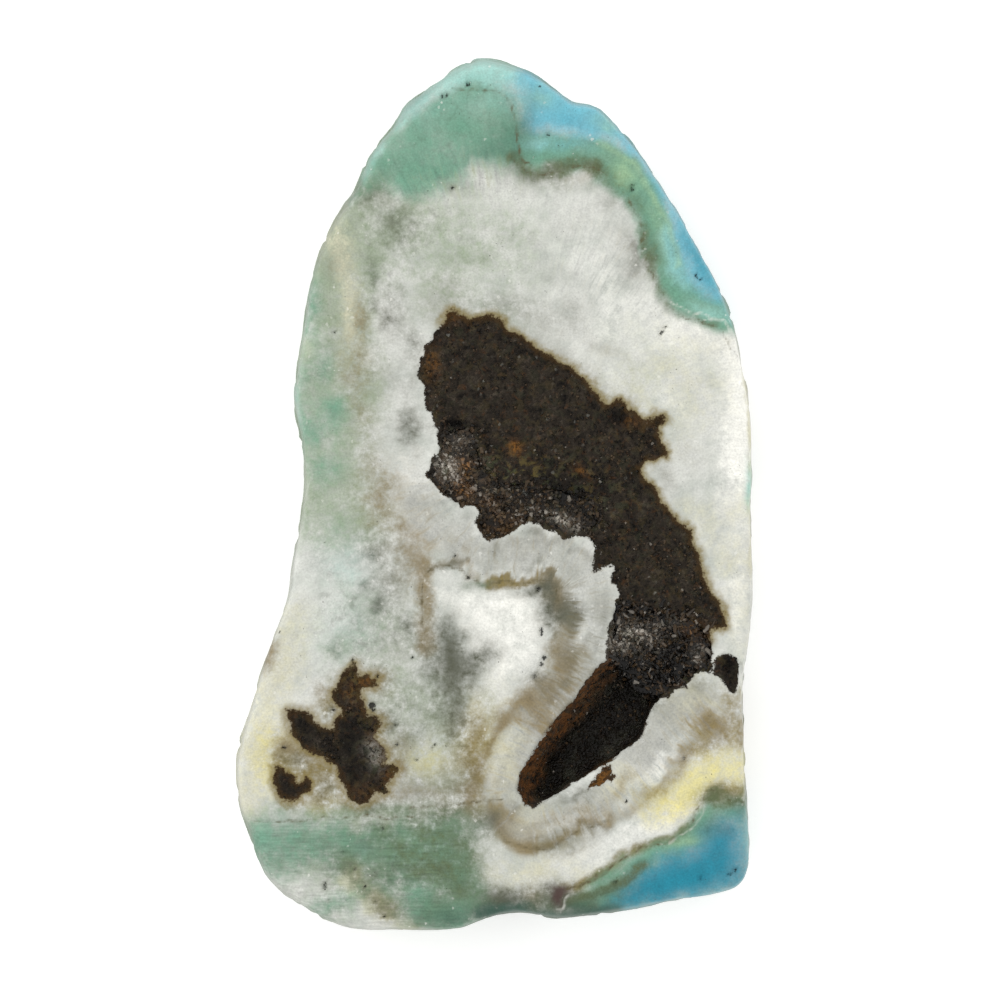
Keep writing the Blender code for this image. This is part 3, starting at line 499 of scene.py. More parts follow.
        ("spot", (-8.6, -17.6), (1.0, 1.2), 0, 0.25),
        ("spot", (-6.2, -17.6), (1.0, 1.0), 0, 0.2),
        ("spot", (-12.3, -16.1), (0.6, 0.8), 0, 0.35),
        ("spot", (-14.8, -19.9), (1.2, 0.9), 0, 0.3),
        ("spot", (5.2, -26.5), (1.7, 0.5), 8, 0.5),
        ("spot", (7.4, -25.2), (1.4, 0.5), 25, 0.3),
        ("spot", (4.2, -29.3), (1.0, 0.6), 0, 0.45),
        ("spot", (8.4, 21.7), (1.0, 0.7), 0, 0.22),
        ("spot", (-8.5, 14.0), (1.0, 2.0), 0, 0.16),
        ("spot", (-6.3, 8.0), (0.7, 2.4), 0, 0.16),
        ("spot", (-5.6, 5.0), (1.6, 0.8), 0, 0.22),
        ("spot", (-6.2, 2.2), (0.7, 0.7), 0, 0.22),
        ("spot", (-2.1, -1.8), (0.7, 0.7), 0, 0.28),
        ("spot", (4.9, -9.0), (1.0, 2.2), 0, 0.3),
        ("spot", (4.8, -12.6), (1.2, 1.8), 0, 0.18),
        ("spot", (-4.4, -27.4), (2.6, 1.6), 0, 0.3),
    ],
    "moss": [
        ("area", [
            (-19.5, -24.6), (-14.5, -24.4), (-10.0, -24.2), (-6.0, -24.4), (-3.0, -24.2), (-1.4, -25.0),
            (-1.6, -27.5), (-1.6, -30.0), (0.5, -33.0), (-5.4, -33.0), (-8.0, -30.6), (-10.6, -28.2),
            (-13.5, -27.6), (-16.5, -28.2), (-19.0, -27.0),
        ], 1.7, 0.6),
        ("spot", (-5.0, -25.6), (3.0, 1.2), 0, 0.35),
        ("spot", (-9.8, -26.4), (1.8, 1.1), 0, 0.8),
        ("spot", (-14.2, -25.7), (1.2, 0.7), 0, 0.45),
        ("spot", (-4.4, -30.8), (2.2, 1.3), 0, 0.8),
        ("spot", (-2.6, -28.6), (1.5, 2.4), 0, 0.6),
        ("spot", (6.5, -30.6), (3.2, 1.1), 0, 1.0),
        ("spot", (8.8, -30.0), (2.4, 1.2), 20, 0.9),
        ("spot", (1.4, 26.2), (1.3, 2.2), 0, 0.7),
        ("spot", (-5.2, 24.2), (1.8, 0.9), 0, 0.5),
        ("spot", (-0.9, -6.8), (0.8, 0.4), 0, 0.95),
        ("spot", (5.0, 25.2), (1.8, 0.6), 0, 0.25),
        ("spot", (-9.0, 16.5), (0.5, 0.9), 0, 0.45),
        ("spot", (-12.6, 9.2), (0.8, 0.9), 0, 0.35),
        ("spot", (-15.7, -30.0), (1.2, 0.7), -30, 0.2),
        ("spot", (-2.4, 26.6), (2.0, 1.0), 0, 0.25),
        ("spot", (-2.0, -6.8), (0.6, 0.4), 0, 0.6),
    ],
    "sea": [
        ("area", [
            (-10.6, 22.6), (-9.2, 25.0), (-7.2, 27.9), (-5.2, 29.3), (-3.2, 30.6), (-1.0, 31.2), (0.6, 31.0),
            (1.6, 29.6), (2.2, 28.0), (2.6, 26.0), (3.2, 24.9), (1.6, 24.0), (-0.8, 24.1), (-2.8, 23.6),
            (-4.8, 22.5), (-6.8, 22.4), (-8.5, 23.4), (-10.0, 22.4),
        ], 1.2, 0.9),
        
        ("band", [(-14.6, 16.0), (-15.0, 11.0), (-15.2, 7.0), (-14.8, 4.0)], 0.4, 2.2, 0.4),
        ("spot", (-11.9, 6.2), (1.4, 1.4), 0, 0.75),
        ("spot", (-13.6, 13.6), (0.8, 1.4), 0, 0.2),
        ("spot", (-12.6, 9.2), (0.9, 1.4), 0, 0.4),
        ("spot", (-12.4, 2.0), (1.4, 1.6), 0, 0.4),
        ("spot", (-13.6, 4.4), (1.0, 1.0), 0, 0.4),
        ("spot", (-12.0, -2.6), (1.6, 1.4), 0, 0.2),
        ("area", [
            (-19.5, -24.6), (-10.0, -24.2), (-3.0, -24.2), (-1.5, -27.5), (-1.5, -33.0), (-5.0, -33.0),
            (-8.2, -30.2), (-11.0, -28.0), (-13.5, -27.6), (-17.5, -28.6),
        ], 1.7, 0.45),
        ("spot", (-16.8, -25.8), (1.6, 1.2), 0, 0.5),
        ("spot", (-12.0, -27.2), (1.0, 0.6), 0, 0.3),
        ("band", [
            (3.0, 25.6), (5.0, 25.4), (7.0, 25.4), (9.0, 24.7), (10.6, 23.3), (11.6, 21.5), (12.2, 19.3),
            (12.8, 17.0), (13.8, 15.0), (15.2, 14.0), (17.2, 13.1),
        ], 0.7, 1.1, 0.95),
        ("band", [(8.0, 23.9), (9.4, 22.9), (10.6, 21.4), (11.2, 19.8), (11.3, 18.2)], 0.2, 0.9, 0.8),
        ("band", [(8.0, -29.4), (9.6, -28.4), (11.4, -27.3), (13.5, -26.6), (15.4, -25.0), (16.4, -23.7)],
         0.3, 1.4, 0.8),
        ("spot", (18.8, -24.6), (0.8, 2.2), 0, 0.4),
        ("spot", (9.0, -30.2), (2.4, 1.1), 10, 0.4),
        ("area", [(10.4, -28.0), (12.4, -27.0), (14.6, -26.2), (16.2, -23.6), (15.6, -23.0), (14.8, -24.6), (13.0, -26.2),
                  (10.6, -26.9)], 0.5, 0.9),
        ("spot", (17.6, -23.8), (1.2, 0.9), 0, 0.9),
        ("spot", (-13.2, -31.2), (2.8, 0.8), 25, 0.6),
        
        ("spot", (-10.0, -26.6), (1.8, 1.2), 0, 0.45),
        ("spot", (-17.2, -26.0), (1.4, 1.2), 0, 0.3),
    ],
    "aqua": [
        ("area", [
            (-10.9, 21.8), (-9.9, 24.9), (-8.1, 27.5), (-6.8, 29.6), (-3.7, 31.9), (-0.5, 33.2), (3.0, 31.9),
            (1.8, 30.5), (0.0, 30.4), (-2.0, 30.4), (-3.8, 29.7), (-5.2, 29.0), (-7.1, 27.4), (-8.6, 25.2),
            (-9.6, 23.8), (-10.4, 22.7),
        ], 0.6, 0.8),
        ("spot", (1.6, 30.6), (1.8, 1.2), 0, 0.35),
        ("band", [(10.0, -31.2), (13.0, -30.6), (16.0, -29.9), (18.2, -29.0), (19.0, -27.0), (18.9, -25.0)],
         0.1, 1.3, 0.4),
        ("spot", (2.4, 28.8), (0.6, 2.2), 0, 0.5),
        ("spot", (5.4, 28.8), (2.2, 1.0), -25, 0.35),
        ("band", [(6.0, 30.0), (7.6, 29.4), (9.2, 27.8)], 0.0, 0.7, 0.6),
        ("spot", (3.2, 25.9), (1.0, 0.5), 0, 0.6),
        ("spot", (19.1, 0.8), (0.4, 1.8), 0, 0.7),
        ("spot", (-15.2, 6.6), (0.6, 3.4), 0, 0.5),
        ("spot", (-9.7, -26.5), (1.1, 0.8), 0, 0.15),
        ("spot", (-11.2, -5.4), (2.2, 1.6), 0, 0.2),
        ("band", [(12.6, 19.6), (13.2, 17.4), (14.0, 15.8)], 0.1, 0.9, 0.6),
        ("spot", (16.2, 13.4), (1.8, 0.6), -15, 0.6),
        ("spot", (-11.0, -9.8), (2.8, 2.6), 0, 0.14),
        ("spot", (0.0, 29.0), (3.0, 1.2), 0, 0.2),
        ("spot", (-4.6, 28.4), (1.6, 1.0), 30, 0.15),
    ],
    "sky": [
        ("area", [
            (1.8, 31.4), (2.2, 30.0), (2.3, 27.8), (2.9, 26.9), (5.5, 26.7), (7.5, 26.4), (9.2, 25.9), (10.8, 24.6),
            (12.1, 22.8), (13.1, 20.9), (13.9, 18.8), (14.4, 16.4), (15.4, 15.1), (17.0, 14.1), (18.2, 12.6),
            (19.4, 11.6), (18.0, 15.0), (15.4, 20.0), (12.4, 25.0), (8.2, 30.0), (4.0, 32.0),
        ], 0.8, 0.95),
        ("spot", (14.0, 18.6), (0.8, 2.4), 15, 0.7),
        ("spot", (1.8, 30.2), (1.2, 1.2), 0, 0.4),
        ("spot", (13.6, 17.8), (0.7, 2.0), 15, 0.5),
        ("spot", (5.0, 25.8), (2.6, 0.6), 0, 0.25),
    ],
    "lagoon": [
        ("area", [
            (9.4, -29.6), (11.0, -28.2), (12.6, -27.5), (14.6, -26.7), (15.8, -25.2), (16.6, -24.8), (18.0, -25.4),
            (18.2, -28.2), (16.2, -29.4), (12.6, -30.4), (9.8, -30.8),
        ], 1.3, 0.96),
        ("spot", (14.2, -28.4), (3.6, 1.4), 8, 0.6),
        ("area", [
            (8.0, -30.4), (10.6, -28.0), (14.4, -26.3), (15.8, -24.0), (19.6, -24.0), (20.0, -31.0), (8.0, -32.6),
        ], 0.8, 0.35),
        ("spot", (15.2, 17.2), (0.7, 2.6), 28, 0.5),
        ("spot", (5.6, 27.8), (2.0, 0.8), -20, 0.15),
        ("spot", (15.5, -29.0), (3.2, 0.9), 8, 0.7),
        ("spot", (17.4, -25.2), (1.4, 0.7), 0, 0.5),
    ],
    "lime": [
        ("band", PALE_SEAM, 0.02, 0.4, 0.45),
        ("spot", (9.2, 24.4), (1.2, 0.5), -30, 0.3),
        ("spot", (14.0, -25.9), (1.8, 0.4), 15, 0.35),
        ("spot", (8.4, 27.4), (1.2, 0.8), -45, 0.35),
        ("spot", (3.4, 29.4), (1.2, 0.9), 0, 0.3),
        ("spot", (9.6, 23.4), (0.9, 0.5), -40, 0.55),
        ("spot", (9.9, 23.4), (1.2, 0.8), -40, 0.25),
        ("spot", (12.1, 19.8), (0.5, 1.6), 15, 0.3),
    ],
    "khaki": [
        ("band", RIND_SEAM[:6], 0.0, 0.85, 0.8),
        ("band", RIND_SEAM[5:9], 0.2, 0.9, 0.3),
        ("band", RIND_SEAM[9:18], 0.05, 0.6, 0.5),
        ("spot", (10.6, 21.4), (0.6, 1.3), 40, 0.12),
        ("spot", (11.5, 17.8), (0.6, 1.6), -10, 0.5),
        ("spot", (4.0, 24.1), (2.0, 0.5), 5, 0.3),
        ("spot", (1.6, 24.8), (0.9, 0.6), -20, 0.4),
        ("band", CORNER_BORDER, 0.05, 0.6, 0.75),
        ("band", CORNER_SEAM[6:], 0.0, 0.6, 0.35),
        ("spot", (17.6, -23.0), (1.2, 0.5), 0, 0.7),
        ("spot", (16.2, -22.5), (1.2, 0.6), 0, 0.75),
        ("spot", (9.6, -28.4), (2.2, 0.4), 30, 0.4),
        ("spot", (-11.2, -27.4), (0.7, 0.8), 0, 0.3),
        ("spot", (-8.4, 23.4), (1.4, 0.6), 30, 0.25),
        ("spot", (-10.2, 22.7), (0.4, 0.4), 0, 0.5),
        ("spot", (-4.4, -26.6), (3.4, 2.6), 0, 0.6),
        ("spot", (-2.6, -29.0), (2.0, 2.4), 0, 0.25),
        ("spot", (-8.5, -26.2), (2.4, 1.4), 0, 0.25),
        ("spot", (4.6, 23.1), (2.2, 0.6), 0, 0.4),
        ("spot", (15.6, -24.6), (1.4, 0.7), 45, 0.3),
    ],
    # Dark clear green in places, and along the lower edge of the face a band and spots of painted edge shade
    "shadow": [
        ("spot", (18.0, -23.6), (0.7, 0.7), 0, 0.3),
        ("spot", (8.6, -29.6), (2.0, 0.7), 15, 0.35),
        ("spot", (6.4, -30.9), (1.4, 0.5), 0, 0.6),
        ("spot", (1.0, -31.2), (2.4, 0.5), 0, 0.5),
        ("spot", (-3.5, -31.6), (2.6, 0.6), 0, 0.4),
        ("spot", (-4.0, -31.0), (0.9, 0.5), 0, 0.2),
        ("band", [(-1.0, -31.2), (0.6, -31.1), (2.0, -31.2), (3.6, -31.5), (5.2, -31.7), (7.0, -31.4), (9.0, -31.0)],
         0.05, 0.8, 0.85),
        ("spot", (1.8, 26.8), (1.5, 2.0), 0, 0.42),
        ("spot", (-0.5, 25.3), (1.9, 0.9), 0, 0.3),
        ("spot", (2.5, 28.2), (0.7, 1.4), 0, 0.25),
        ("spot", (-5.6, 29.5), (1.2, 0.8), 45, 0.25),
        ("spot", (-8.0, 27.3), (1.0, 0.8), 45, 0.2),
        ("spot", (1.6, -30.9), (3.2, 0.6), 0, 0.5),
        ("spot", (17.0, -25.0), (1.4, 0.6), 0, 0.3),
        ("spot", (-8.8, 26.4), (0.8, 1.2), 0, 0.2),
    ],
    "plum": [
        ("spot", (4.75, -29.95), (0.6, 0.75), 0, 1.0),
        ("spot", (4.75, -29.95), (0.7, 0.8), 0, 0.9),
        ("spot", (5.0, -29.4), (0.7, 0.3), 0, 0.8),
    ],
}

# Thin lines on the face: the line and its half width
DARK_LINES = [
    (RIND_SEAM, 0.03), (LOBE_SEAM[:6], 0.04), (LOBE_SEAM[6:], 0.06), (CORNER_SEAM[:6], 0.08), (CORNER_SEAM[5:], 0.03),
    (FOOT_BAND[1:9], 0.05), (CRACK, 0.05),
    (SAW_STEP, 0.05), (CROWN_SEAM, 0.06), ([(-5.2, -6.0), (-5.3, -7.4), (-5.2, -9.0), (-5.3, -10.4)], 0.03),
]
PALE_LINES = [
    ([(13.0, 14.3), (14.0, 13.7), (15.0, 13.4), (16.3, 13.0), (17.3, 12.6), (18.0, 11.4)], 0.06),
    ([(4.5, -30.9), (5.1, -30.8), (5.5, -30.3), (5.6, -29.9)], 0.04),
    ([(13.0, -25.9), (14.4, -25.1), (15.2, -24.2), (15.8, -23.2)], 0.03),
    ([(-5.5, -5.9), (-5.0, -6.6), (-4.3, -7.0)], 0.06),
]

# Pits and dark specks in the face: place and radius
PITS = [
    ((3.5, -10.1), 0.14), ((3.5, -10.45), 0.14), ((3.7, -12.2), 0.17), ((3.5, -12.7), 0.16), ((3.0, -13.6), 0.12),
    ((-1.95, 30.4), 0.16), ((-3.85, 29.5), 0.13), ((-3.55, 29.6), 0.1), ((-6.7, 27.8), 0.1), ((-10.5, 22.5), 0.13),
    ((10.25, 22.85), 0.13), ((10.25, 22.55), 0.12), ((12.35, 11.8), 0.1), ((12.5, 12.05), 0.11), ((12.7, 12.4), 0.1),
    ((-12.6, -29.05), 0.12), ((-12.6, -29.3), 0.12), ((-10.8, -32.0), 0.11), ((-10.55, -12.35), 0.1),
    ((-8.7, -13.6), 0.12), ((-6.1, -12.2), 0.1), ((-7.3, -17.25), 0.1), ((-7.25, -18.65), 0.1),
    ((-4.6, -18.95), 0.07), ((-5.8, -19.8), 0.07), ((-15.7, -18.85), 0.09), ((-16.0, -10.3), 0.1),
    ((14.1, -19.7), 0.11), ((17.9, -28.0), 0.11), ((17.5, -28.3), 0.1), ((15.3, -28.6), 0.09), ((9.0, -28.9), 0.1),
    ((15.0, 16.2), 0.12), ((15.3, 15.9), 0.09), ((3.4, 30.3), 0.1), ((4.0, 26.7), 0.1),
    ((-3.0, 5.2), 0.24), ((-2.6, 5.25), 0.24), ((-3.4, 5.3), 0.18), ((3.3, -7.1), 0.16), ((-1.95, -6.25), 0.14),
    ((-9.1, -15.75), 0.27), ((-9.0, -16.1), 0.16), ((-15.5, -18.9), 0.1), ((-4.4, -18.7), 0.09),
    ((-11.95, -16.05), 0.12), ((-11.2, -26.7), 0.08),
    ((-10.4, -27.9), 0.07), ((-9.6, -29.2), 0.08), ((-8.8, -30.3), 0.07), ((-8.2, -31.4), 0.08), ((-2.9, -4.6), 0.1),
    ((-11.9, 12.0), 0.09), ((-8.3, -24.9), 0.08), ((-3.1, 22.7), 0.12), ((9.8, -22.9), 0.11),
]

# Colours, 0 to 255
PALETTE = {
    "white": ("White", "Milky fibrous hemimorphite", (222, 223, 216)),
    "shade": ("Grey white", "The same where its fibres let less light through", (188, 192, 184)),
    "bright": ("Bright white", "Chalky white next to the matrix and in the lobe", (250, 249, 241)),
    "veil": ("Grey veil", "Grey places where the white is clear", (166, 166, 157)),
    "sage": ("Sage", "Grey green of the left flank", (150, 163, 138)),
    "cream": ("Cream", "Ivory edges", (207, 204, 178)),
    "honey": ("Honey", "Yellow iron stain", (229, 219, 150)),
    "tan": ("Tan", "Brown grey growth bands", (136, 122, 92)),
    "smoke": ("Smoke", "Clear grey places", (88, 90, 76)),
    "moss": ("Moss", "Dark grey green", (92, 108, 82)),
    "sea": ("Sea green", "Green of the crown and the foot", (110, 158, 134)),
    "aqua": ("Aqua", "Pale blue green of the rounded rim", (156, 206, 197)),
    "sky": ("Sky blue", "Blue of the outer rind", (110, 184, 201)),
    "lagoon": ("Lagoon", "Deep blue of the lower corner", (34, 132, 154)),
    "lime": ("Pale green", "Pale line in the blue rind", (166, 196, 152)),
    "khaki": ("Khaki", "Olive shading along the rind", (92, 102, 72)),
    # Dark clear green; along the lower edge it stands for painted edge shade
    "shadow": ("Bottle green", "Dark clear green along the lower edge", (60, 88, 76)),
    "plum": ("Plum", "Purple brown spot at the foot", (78, 62, 58)),
    "line": ("Growth line", "Thin olive brown lines", (92, 84, 58)),
    "umber": ("Umber", "Body of the brown matrix", (45, 39, 32)),
    "dun": ("Dun", "Paler grains of the matrix", (90, 81, 70)),
    "soot": ("Soot", "Darkest places in the matrix", (12, 10, 8)),
    "ochre": ("Ochre", "Orange iron stain in the matrix", (130, 88, 40)),
    "rust": ("Rust", "Iron stain in and round the matrix", (104, 66, 32)),
    "fringe": ("Fringe", "Rusty olive edge of the matrix", (74, 54, 26)),
    "olive": ("Olive", "Yellow brown stain that runs out from the matrix", (130, 114, 62)),
    "tawny": ("Tawny", "Brown crystals of the ledge", (86, 68, 48)),
    "druse": ("Pale druse", "Frosty grey crystals", (162, 156, 146)),
}
LAYERS = [
    "bright", "veil", "sage", "cream", "honey", "tan", "olive", "smoke", "moss", "sea", "aqua", "sky", "lagoon", "lime",
    "khaki", "shadow", "plum",
]
CLEAR_LAYERS = ["aqua", "sky", "lagoon", "lime", "shadow", "plum"]
SOFT_LAYERS = ["moss", "sea", *CLEAR_LAYERS]


# Shapes on a plane, worked out for many places at once

def ease(value):
    """A smooth step from 0 to 1"""
    value = np.clip(value, 0.0, 1.0)
    return value * value * (3.0 - 2.0 * value)


def smooth_line(points, closed=False, samples=4):
    """Points of a smooth curve through the given ones"""
    points = np.array(points, float)
    before = points[-1:] if closed else 2 * points[:1] - points[1:2]
    after = points[:2] if closed else 2 * points[-1:] - points[-2:-1]
    padded = np.vstack((before, points, after))
    curve = []
    for a, b, c, d in zip(padded, padded[1:], padded[2:], padded[3:]):
        for t in np.arange(samples) / samples:
            curve.append(0.5 * (2 * b + (c - a) * t + (2 * a - 5 * b + 4 * c - d) * t**2
                                + (3 * b - a - 3 * c + d) * t**3))
    return np.array(curve if closed else curve + [points[-1]])


def line_distance(places, line):
    """How far each place is from a line, and how far along it the nearest point lies"""
    line = np.asarray(line, float)
    nearest = np.full(len(places), np.inf)
    along = np.zeros(len(places))
    passed = 0.0
    for start, way in zip(line, line[1:] - line[:-1]):
        length = math.hypot(*way)
        offset = places - start
        share = np.clip(offset @ way / length**2, 0.0, 1.0)
        gap = np.hypot(*(offset - share[:, None] * way).T)
        closer = gap < nearest
        nearest[closer] = gap[closer]
        along[closer] = passed + length * share[closer]
        passed += length
    return nearest, along


def depth_inside(places, loop):
    """How far inside a loop each place lies, below 0 outside, and where along the loop that is"""
    closed = np.vstack((loop, loop[:1]))
    gap, along = line_distance(places, closed)
    x, y = places.T
    inside = np.zeros(len(places), bool)
    for (ax, ay), (bx, by) in zip(closed, closed[1:]):
        if ay != by:
            inside ^= ((ay > y) != (by > y)) & (x < ax + (bx - ax) * (y - ay) / (by - ay))
    return np.where(inside, gap, -gap), along


def area(places, loop, softness, strength):
    depth, _ = depth_inside(places, smooth_line(loop, closed=True, samples=3))
    return strength * ease(0.5 + depth / (2 * softness))


def band(places, line, half_width, softness, strength):
    gap, _ = line_distance(places, smooth_line(line))
    return strength * (1.0 - ease((gap - half_width) / softness))


def spot(places, centre, reach, turn, strength):
    angle = math.radians(turn)
    x, y = (places - centre).T
    across = (x * math.cos(angle) + y * math.sin(angle)) / reach[0]
    up = (y * math.cos(angle) - x * math.sin(angle)) / reach[1]
    return strength * np.exp(-1.1 * (across**2 + up**2))


SHAPES = {"area": area, "band": band, "spot": spot}


def zone_mask(places, shapes):
    """How much of a zone's colour each place takes, from all of the zone's shapes together"""
    clear = np.ones(len(places))
    for kind, *how in shapes:
        clear *= 1.0 - SHAPES[kind](places, *how)
    return 1.0 - clear


def line_depth(places, lines):
    """How far inside the nearest of some thin lines each place lies"""
    return np.max([width - line_distance(places, smooth_line(line))[0] for line, width in lines], axis=0)


def hashed(cells, seed):
    """A fixed random value from -1 to 1 for each whole-number cell"""
    mixed = (cells[:, 0] * 73856093) ^ (cells[:, 1] * 19349663) ^ (cells[:, 2] * 83492791) ^ (seed * 2654435761)
    mixed &= 0x7FFFFFFF
    mixed = ((mixed ^ (mixed >> 13)) * 1274126177) & 0x7FFFFFFF
    return ((mixed ^ (mixed >> 16)) & 0xFFFF) / 32767.5 - 1.0


def cloud(places, size, seed, octaves=3):
    """Smooth random values, mostly from -1 to 1, with lumps of about the given size"""
    total, weight = np.zeros(len(places)), 0.0
    for octave in range(octaves):
        scaled = places * 2**octave / size + 0.37 * seed
        cell = np.floor(scaled).astype(np.int64)
        part = ease(scaled - cell)
        for corner in itertools.product((0, 1), repeat=3):
            share = np.prod(np.where(corner, part, 1.0 - part), axis=1)
            total += share * hashed(cell + corner, seed + 17 * octave) / 2**octave
        weight += 1.0 / 2**octave
    return 1.6 * total / weight


def drift(places, size, amount, seed):
    """The places' X and Y, pushed about at random"""
    push = [amount * cloud(places, size, seed + 5 * axis, 2) for axis in range(2)]
    return places[:, :2] + np.array(push).T


# What the slab is like at each place

def in_hollow(flat, height, margin):
    """Whether a place is in the vug, the two druse hollows, the branch's hole or the edge's pit"""
    inside = np.zeros(len(flat), bool)
    for loop in (VUG, JUNCTION, LEDGE, BRANCH_HOLE, EDGE_PIT):
        inside |= depth_inside(flat, np.array(loop))[0] > -margin
    return inside & (height > FACE_Z - HOLLOW_FLOOR)


HOLLOW_FLOOR = 3.4


def near_edge_pit(flat):
    """Round the pit by the edge, where the rim keeps its own shape and colour"""
    return depth_inside(flat, np.array(EDGE_PIT))[0] > -1.3


def step_fall(flat):
    """How far the saw step lowers the face, from none at the right to all at the left"""
    line = np.interp(flat[:, 0], *np.array(SAW_STEP).T)
    return STEP_DROP * ease((line + 0.1 - flat[:, 1]) / 0.3) * ease((-4.0 - flat[:, 0]) / 8.0)


STEP_DROP = 0.2


def stone_fields(places):
    """Everything that the slab's finish reads at each place: zones from 0 to 1, and depths in millimetres"""
    low = np.clip(FACE_Z - places[:, 2] - 0.3, 0.0, None)
    low[in_hollow(places[:, :2], places[:, 2], 0.5)] = 0.0
    warped = places + low[:, None] * (0.16, -0.1, 0.0)
    wide = drift(warped, 2.6, 0.25, 1) + drift(warped, 0.9, 0.18, 2) - warped[:, :2]
    wide += low[:, None] / FACE_Z * (drift(warped, 6.0, 1.6, 3) - warped[:, :2])
    fine = drift(warped, 1.1, 0.14, 4) + drift(warped, 0.5, 0.13, 6) - warped[:, :2]
    patches = [depth_inside(fine, np.array(loop)) for loop in MATRIX_PATCHES]
    growth, across = depth_inside(warped[:, :2], smooth_line(CORE, closed=True))
    threads = np.array([across, -0.2 * growth, 0.5 * places[:, 2]]).T
    away = warped[:, :2] - HEART
    fields = {"spread": 18.0 * np.arctan2(-away[:, 0] - away[:, 1], away[:, 1] - away[:, 0])}
    fields["fibrous"] = zone_mask(wide, FIBROUS)
    away *= (0.9 * fields["fibrous"] * cloud(threads, 0.7, 11, 3) / np.hypot(*away.T).clip(1.0))[:, None]
    for number, name in enumerate(LAYERS):
        mask = zone_mask(fine if name == "plum" else wide if name in CLEAR_LAYERS else wide + away, ZONES[name])
        mask += (0.4 if name in CLEAR_LAYERS else 1.1) * mask * (1.0 - mask) * cloud(warped, 1.5, 50 + number)
        fields[name] = np.clip(mask, 0.0, 1.0)
    fields["matrix"] = np.max([depth for depth, _ in patches], axis=0) + 0.05 - 0.3 * low
    walls = in_hollow(places[:, :2], places[:, 2], 0.5) & ~near_edge_pit(places[:, :2])
    fields["matrix"] += 0.9 * walls * ease((FACE_Z - places[:, 2] - 0.35) / 0.5)
    fields["line"] = line_depth(fine, DARK_LINES) - 0.2 * low
    fields["vein"] = line_depth(fine, PALE_LINES) - 0.2 * low
    fields["speck"] = np.max([r - np.hypot(*(warped[:, :2] - at).T) for at, r in PITS], axis=0) - low
    fields["across"] = across
    fields["outward"] = -growth
    fields["scratched"] = ease(0.5 - (warped[:, 1] - np.interp(warped[:, 0], *np.array(SAW_STEP).T)) / 0.4)
    fields["scratched"] *= ease((-1.0 - warped[:, 0]) / 4.0)
    fields["stain"] = zone_mask(wide, STAINED)
    fields["dappled"] = zone_mask(wide, DAPPLED)
    vug = depth_inside(places[:, :2], np.array(VUG))[0]
    fall = FACE_Z - places[:, 2]
    near, _ = line_distance(places[:, :2], smooth_line(VUG_NEAR_SIDE[1:]))
    near += 0.45 * cloud(places, 1.1, 71)
    # Deep: the vug's deeper far part, which the finish darkens to soot: the matrix's own dark colour, deepened as
    # painted shade in the hollow
    fields["deep"] = ease((vug + 0.3) / 0.6) * ease((fall - 0.9) / 1.0) * ease((near - 0.9) / 1.0)
    # Wall: the vug's near wall, which the finish turns rust: iron stain, and lighter as the painted lit side of the
    # hollow
    fields["wall"] = (1.0 - ease((near - 0.8) / 0.9)) * ease((vug + 0.3) / 0.4)
    fields["warm"] = zone_mask(wide, WARM)
    fields["grey"] = zone_mask(wide, GREY)
    fields["sooty"] = zone_mask(wide, SOOTY)
    fields["rind"] = ease((low - 0.8) / 1.5) * ease(places[:, 2] / 0.5)
    # Rim: 0 on the face, rising to 1 where it rounds over at the outline and on the sides; the finish uses it for
    # painted edge shade, which on the sides also stands for their duller weathered skin
    fields["rim"] = ease((low - 0.02) / 0.8)
    lump = np.abs(cloud(places, 3.2, 31, 2) + 0.12 * cloud(places, 0.9, 34, 2))
    fields["crease"] = fields["rind"] * (1.0 - ease(lump / 0.3))
    fields["sawn"] = 1.0 - ease(places[:, 2] / 0.3)
    return fields


# Where the matrix stains the stone round it
STAINED = [
    ("band", MATRIX[:50], 0.8, 1.0, 1.0), ("band", LEFT_PATCH + LEFT_PATCH[:1], 0.5, 0.8, 0.75),
    ("band", LEFT_SPOT + LEFT_SPOT[:1], 0.6, 0.8, 1.0),
]

# Where small grey clouds lie in the white
DAPPLED = [
    ("spot", (-9.5, -9.0), (4.5, 4.5), 0, 1.0), ("spot", (-8.6, 15.5), (1.6, 5.0), 0, 0.9),
    ("spot", (-11.5, 6.0), (3.0, 6.0), 0, 0.5), ("spot", (-7.0, -17.0), (2.5, 5.0), 0, 0.6),
    ("spot", (0.0, 18.0), (6.0, 4.0), 0, 0.35), ("spot", (-11.0, -28.0), (7.0, 3.5), 0, 0.7),
    ("spot", (-6.0, 20.0), (4.0, 3.0), 0, 0.8), ("spot", (-6.0, 4.0), (1.6, 3.0), 0, 0.6),
    ("spot", (-4.0, 27.0), (5.0, 3.0), 0, 0.5),
    ("spot", (3.4, 0.5), (4.5, 1.8), -10, 1.0), ("spot", (-2.8, 3.8), (1.0, 0.8), 0, 1.0),
    ("spot", (12.6, -11.8), (3.2, 2.2), 0, 0.8),
]

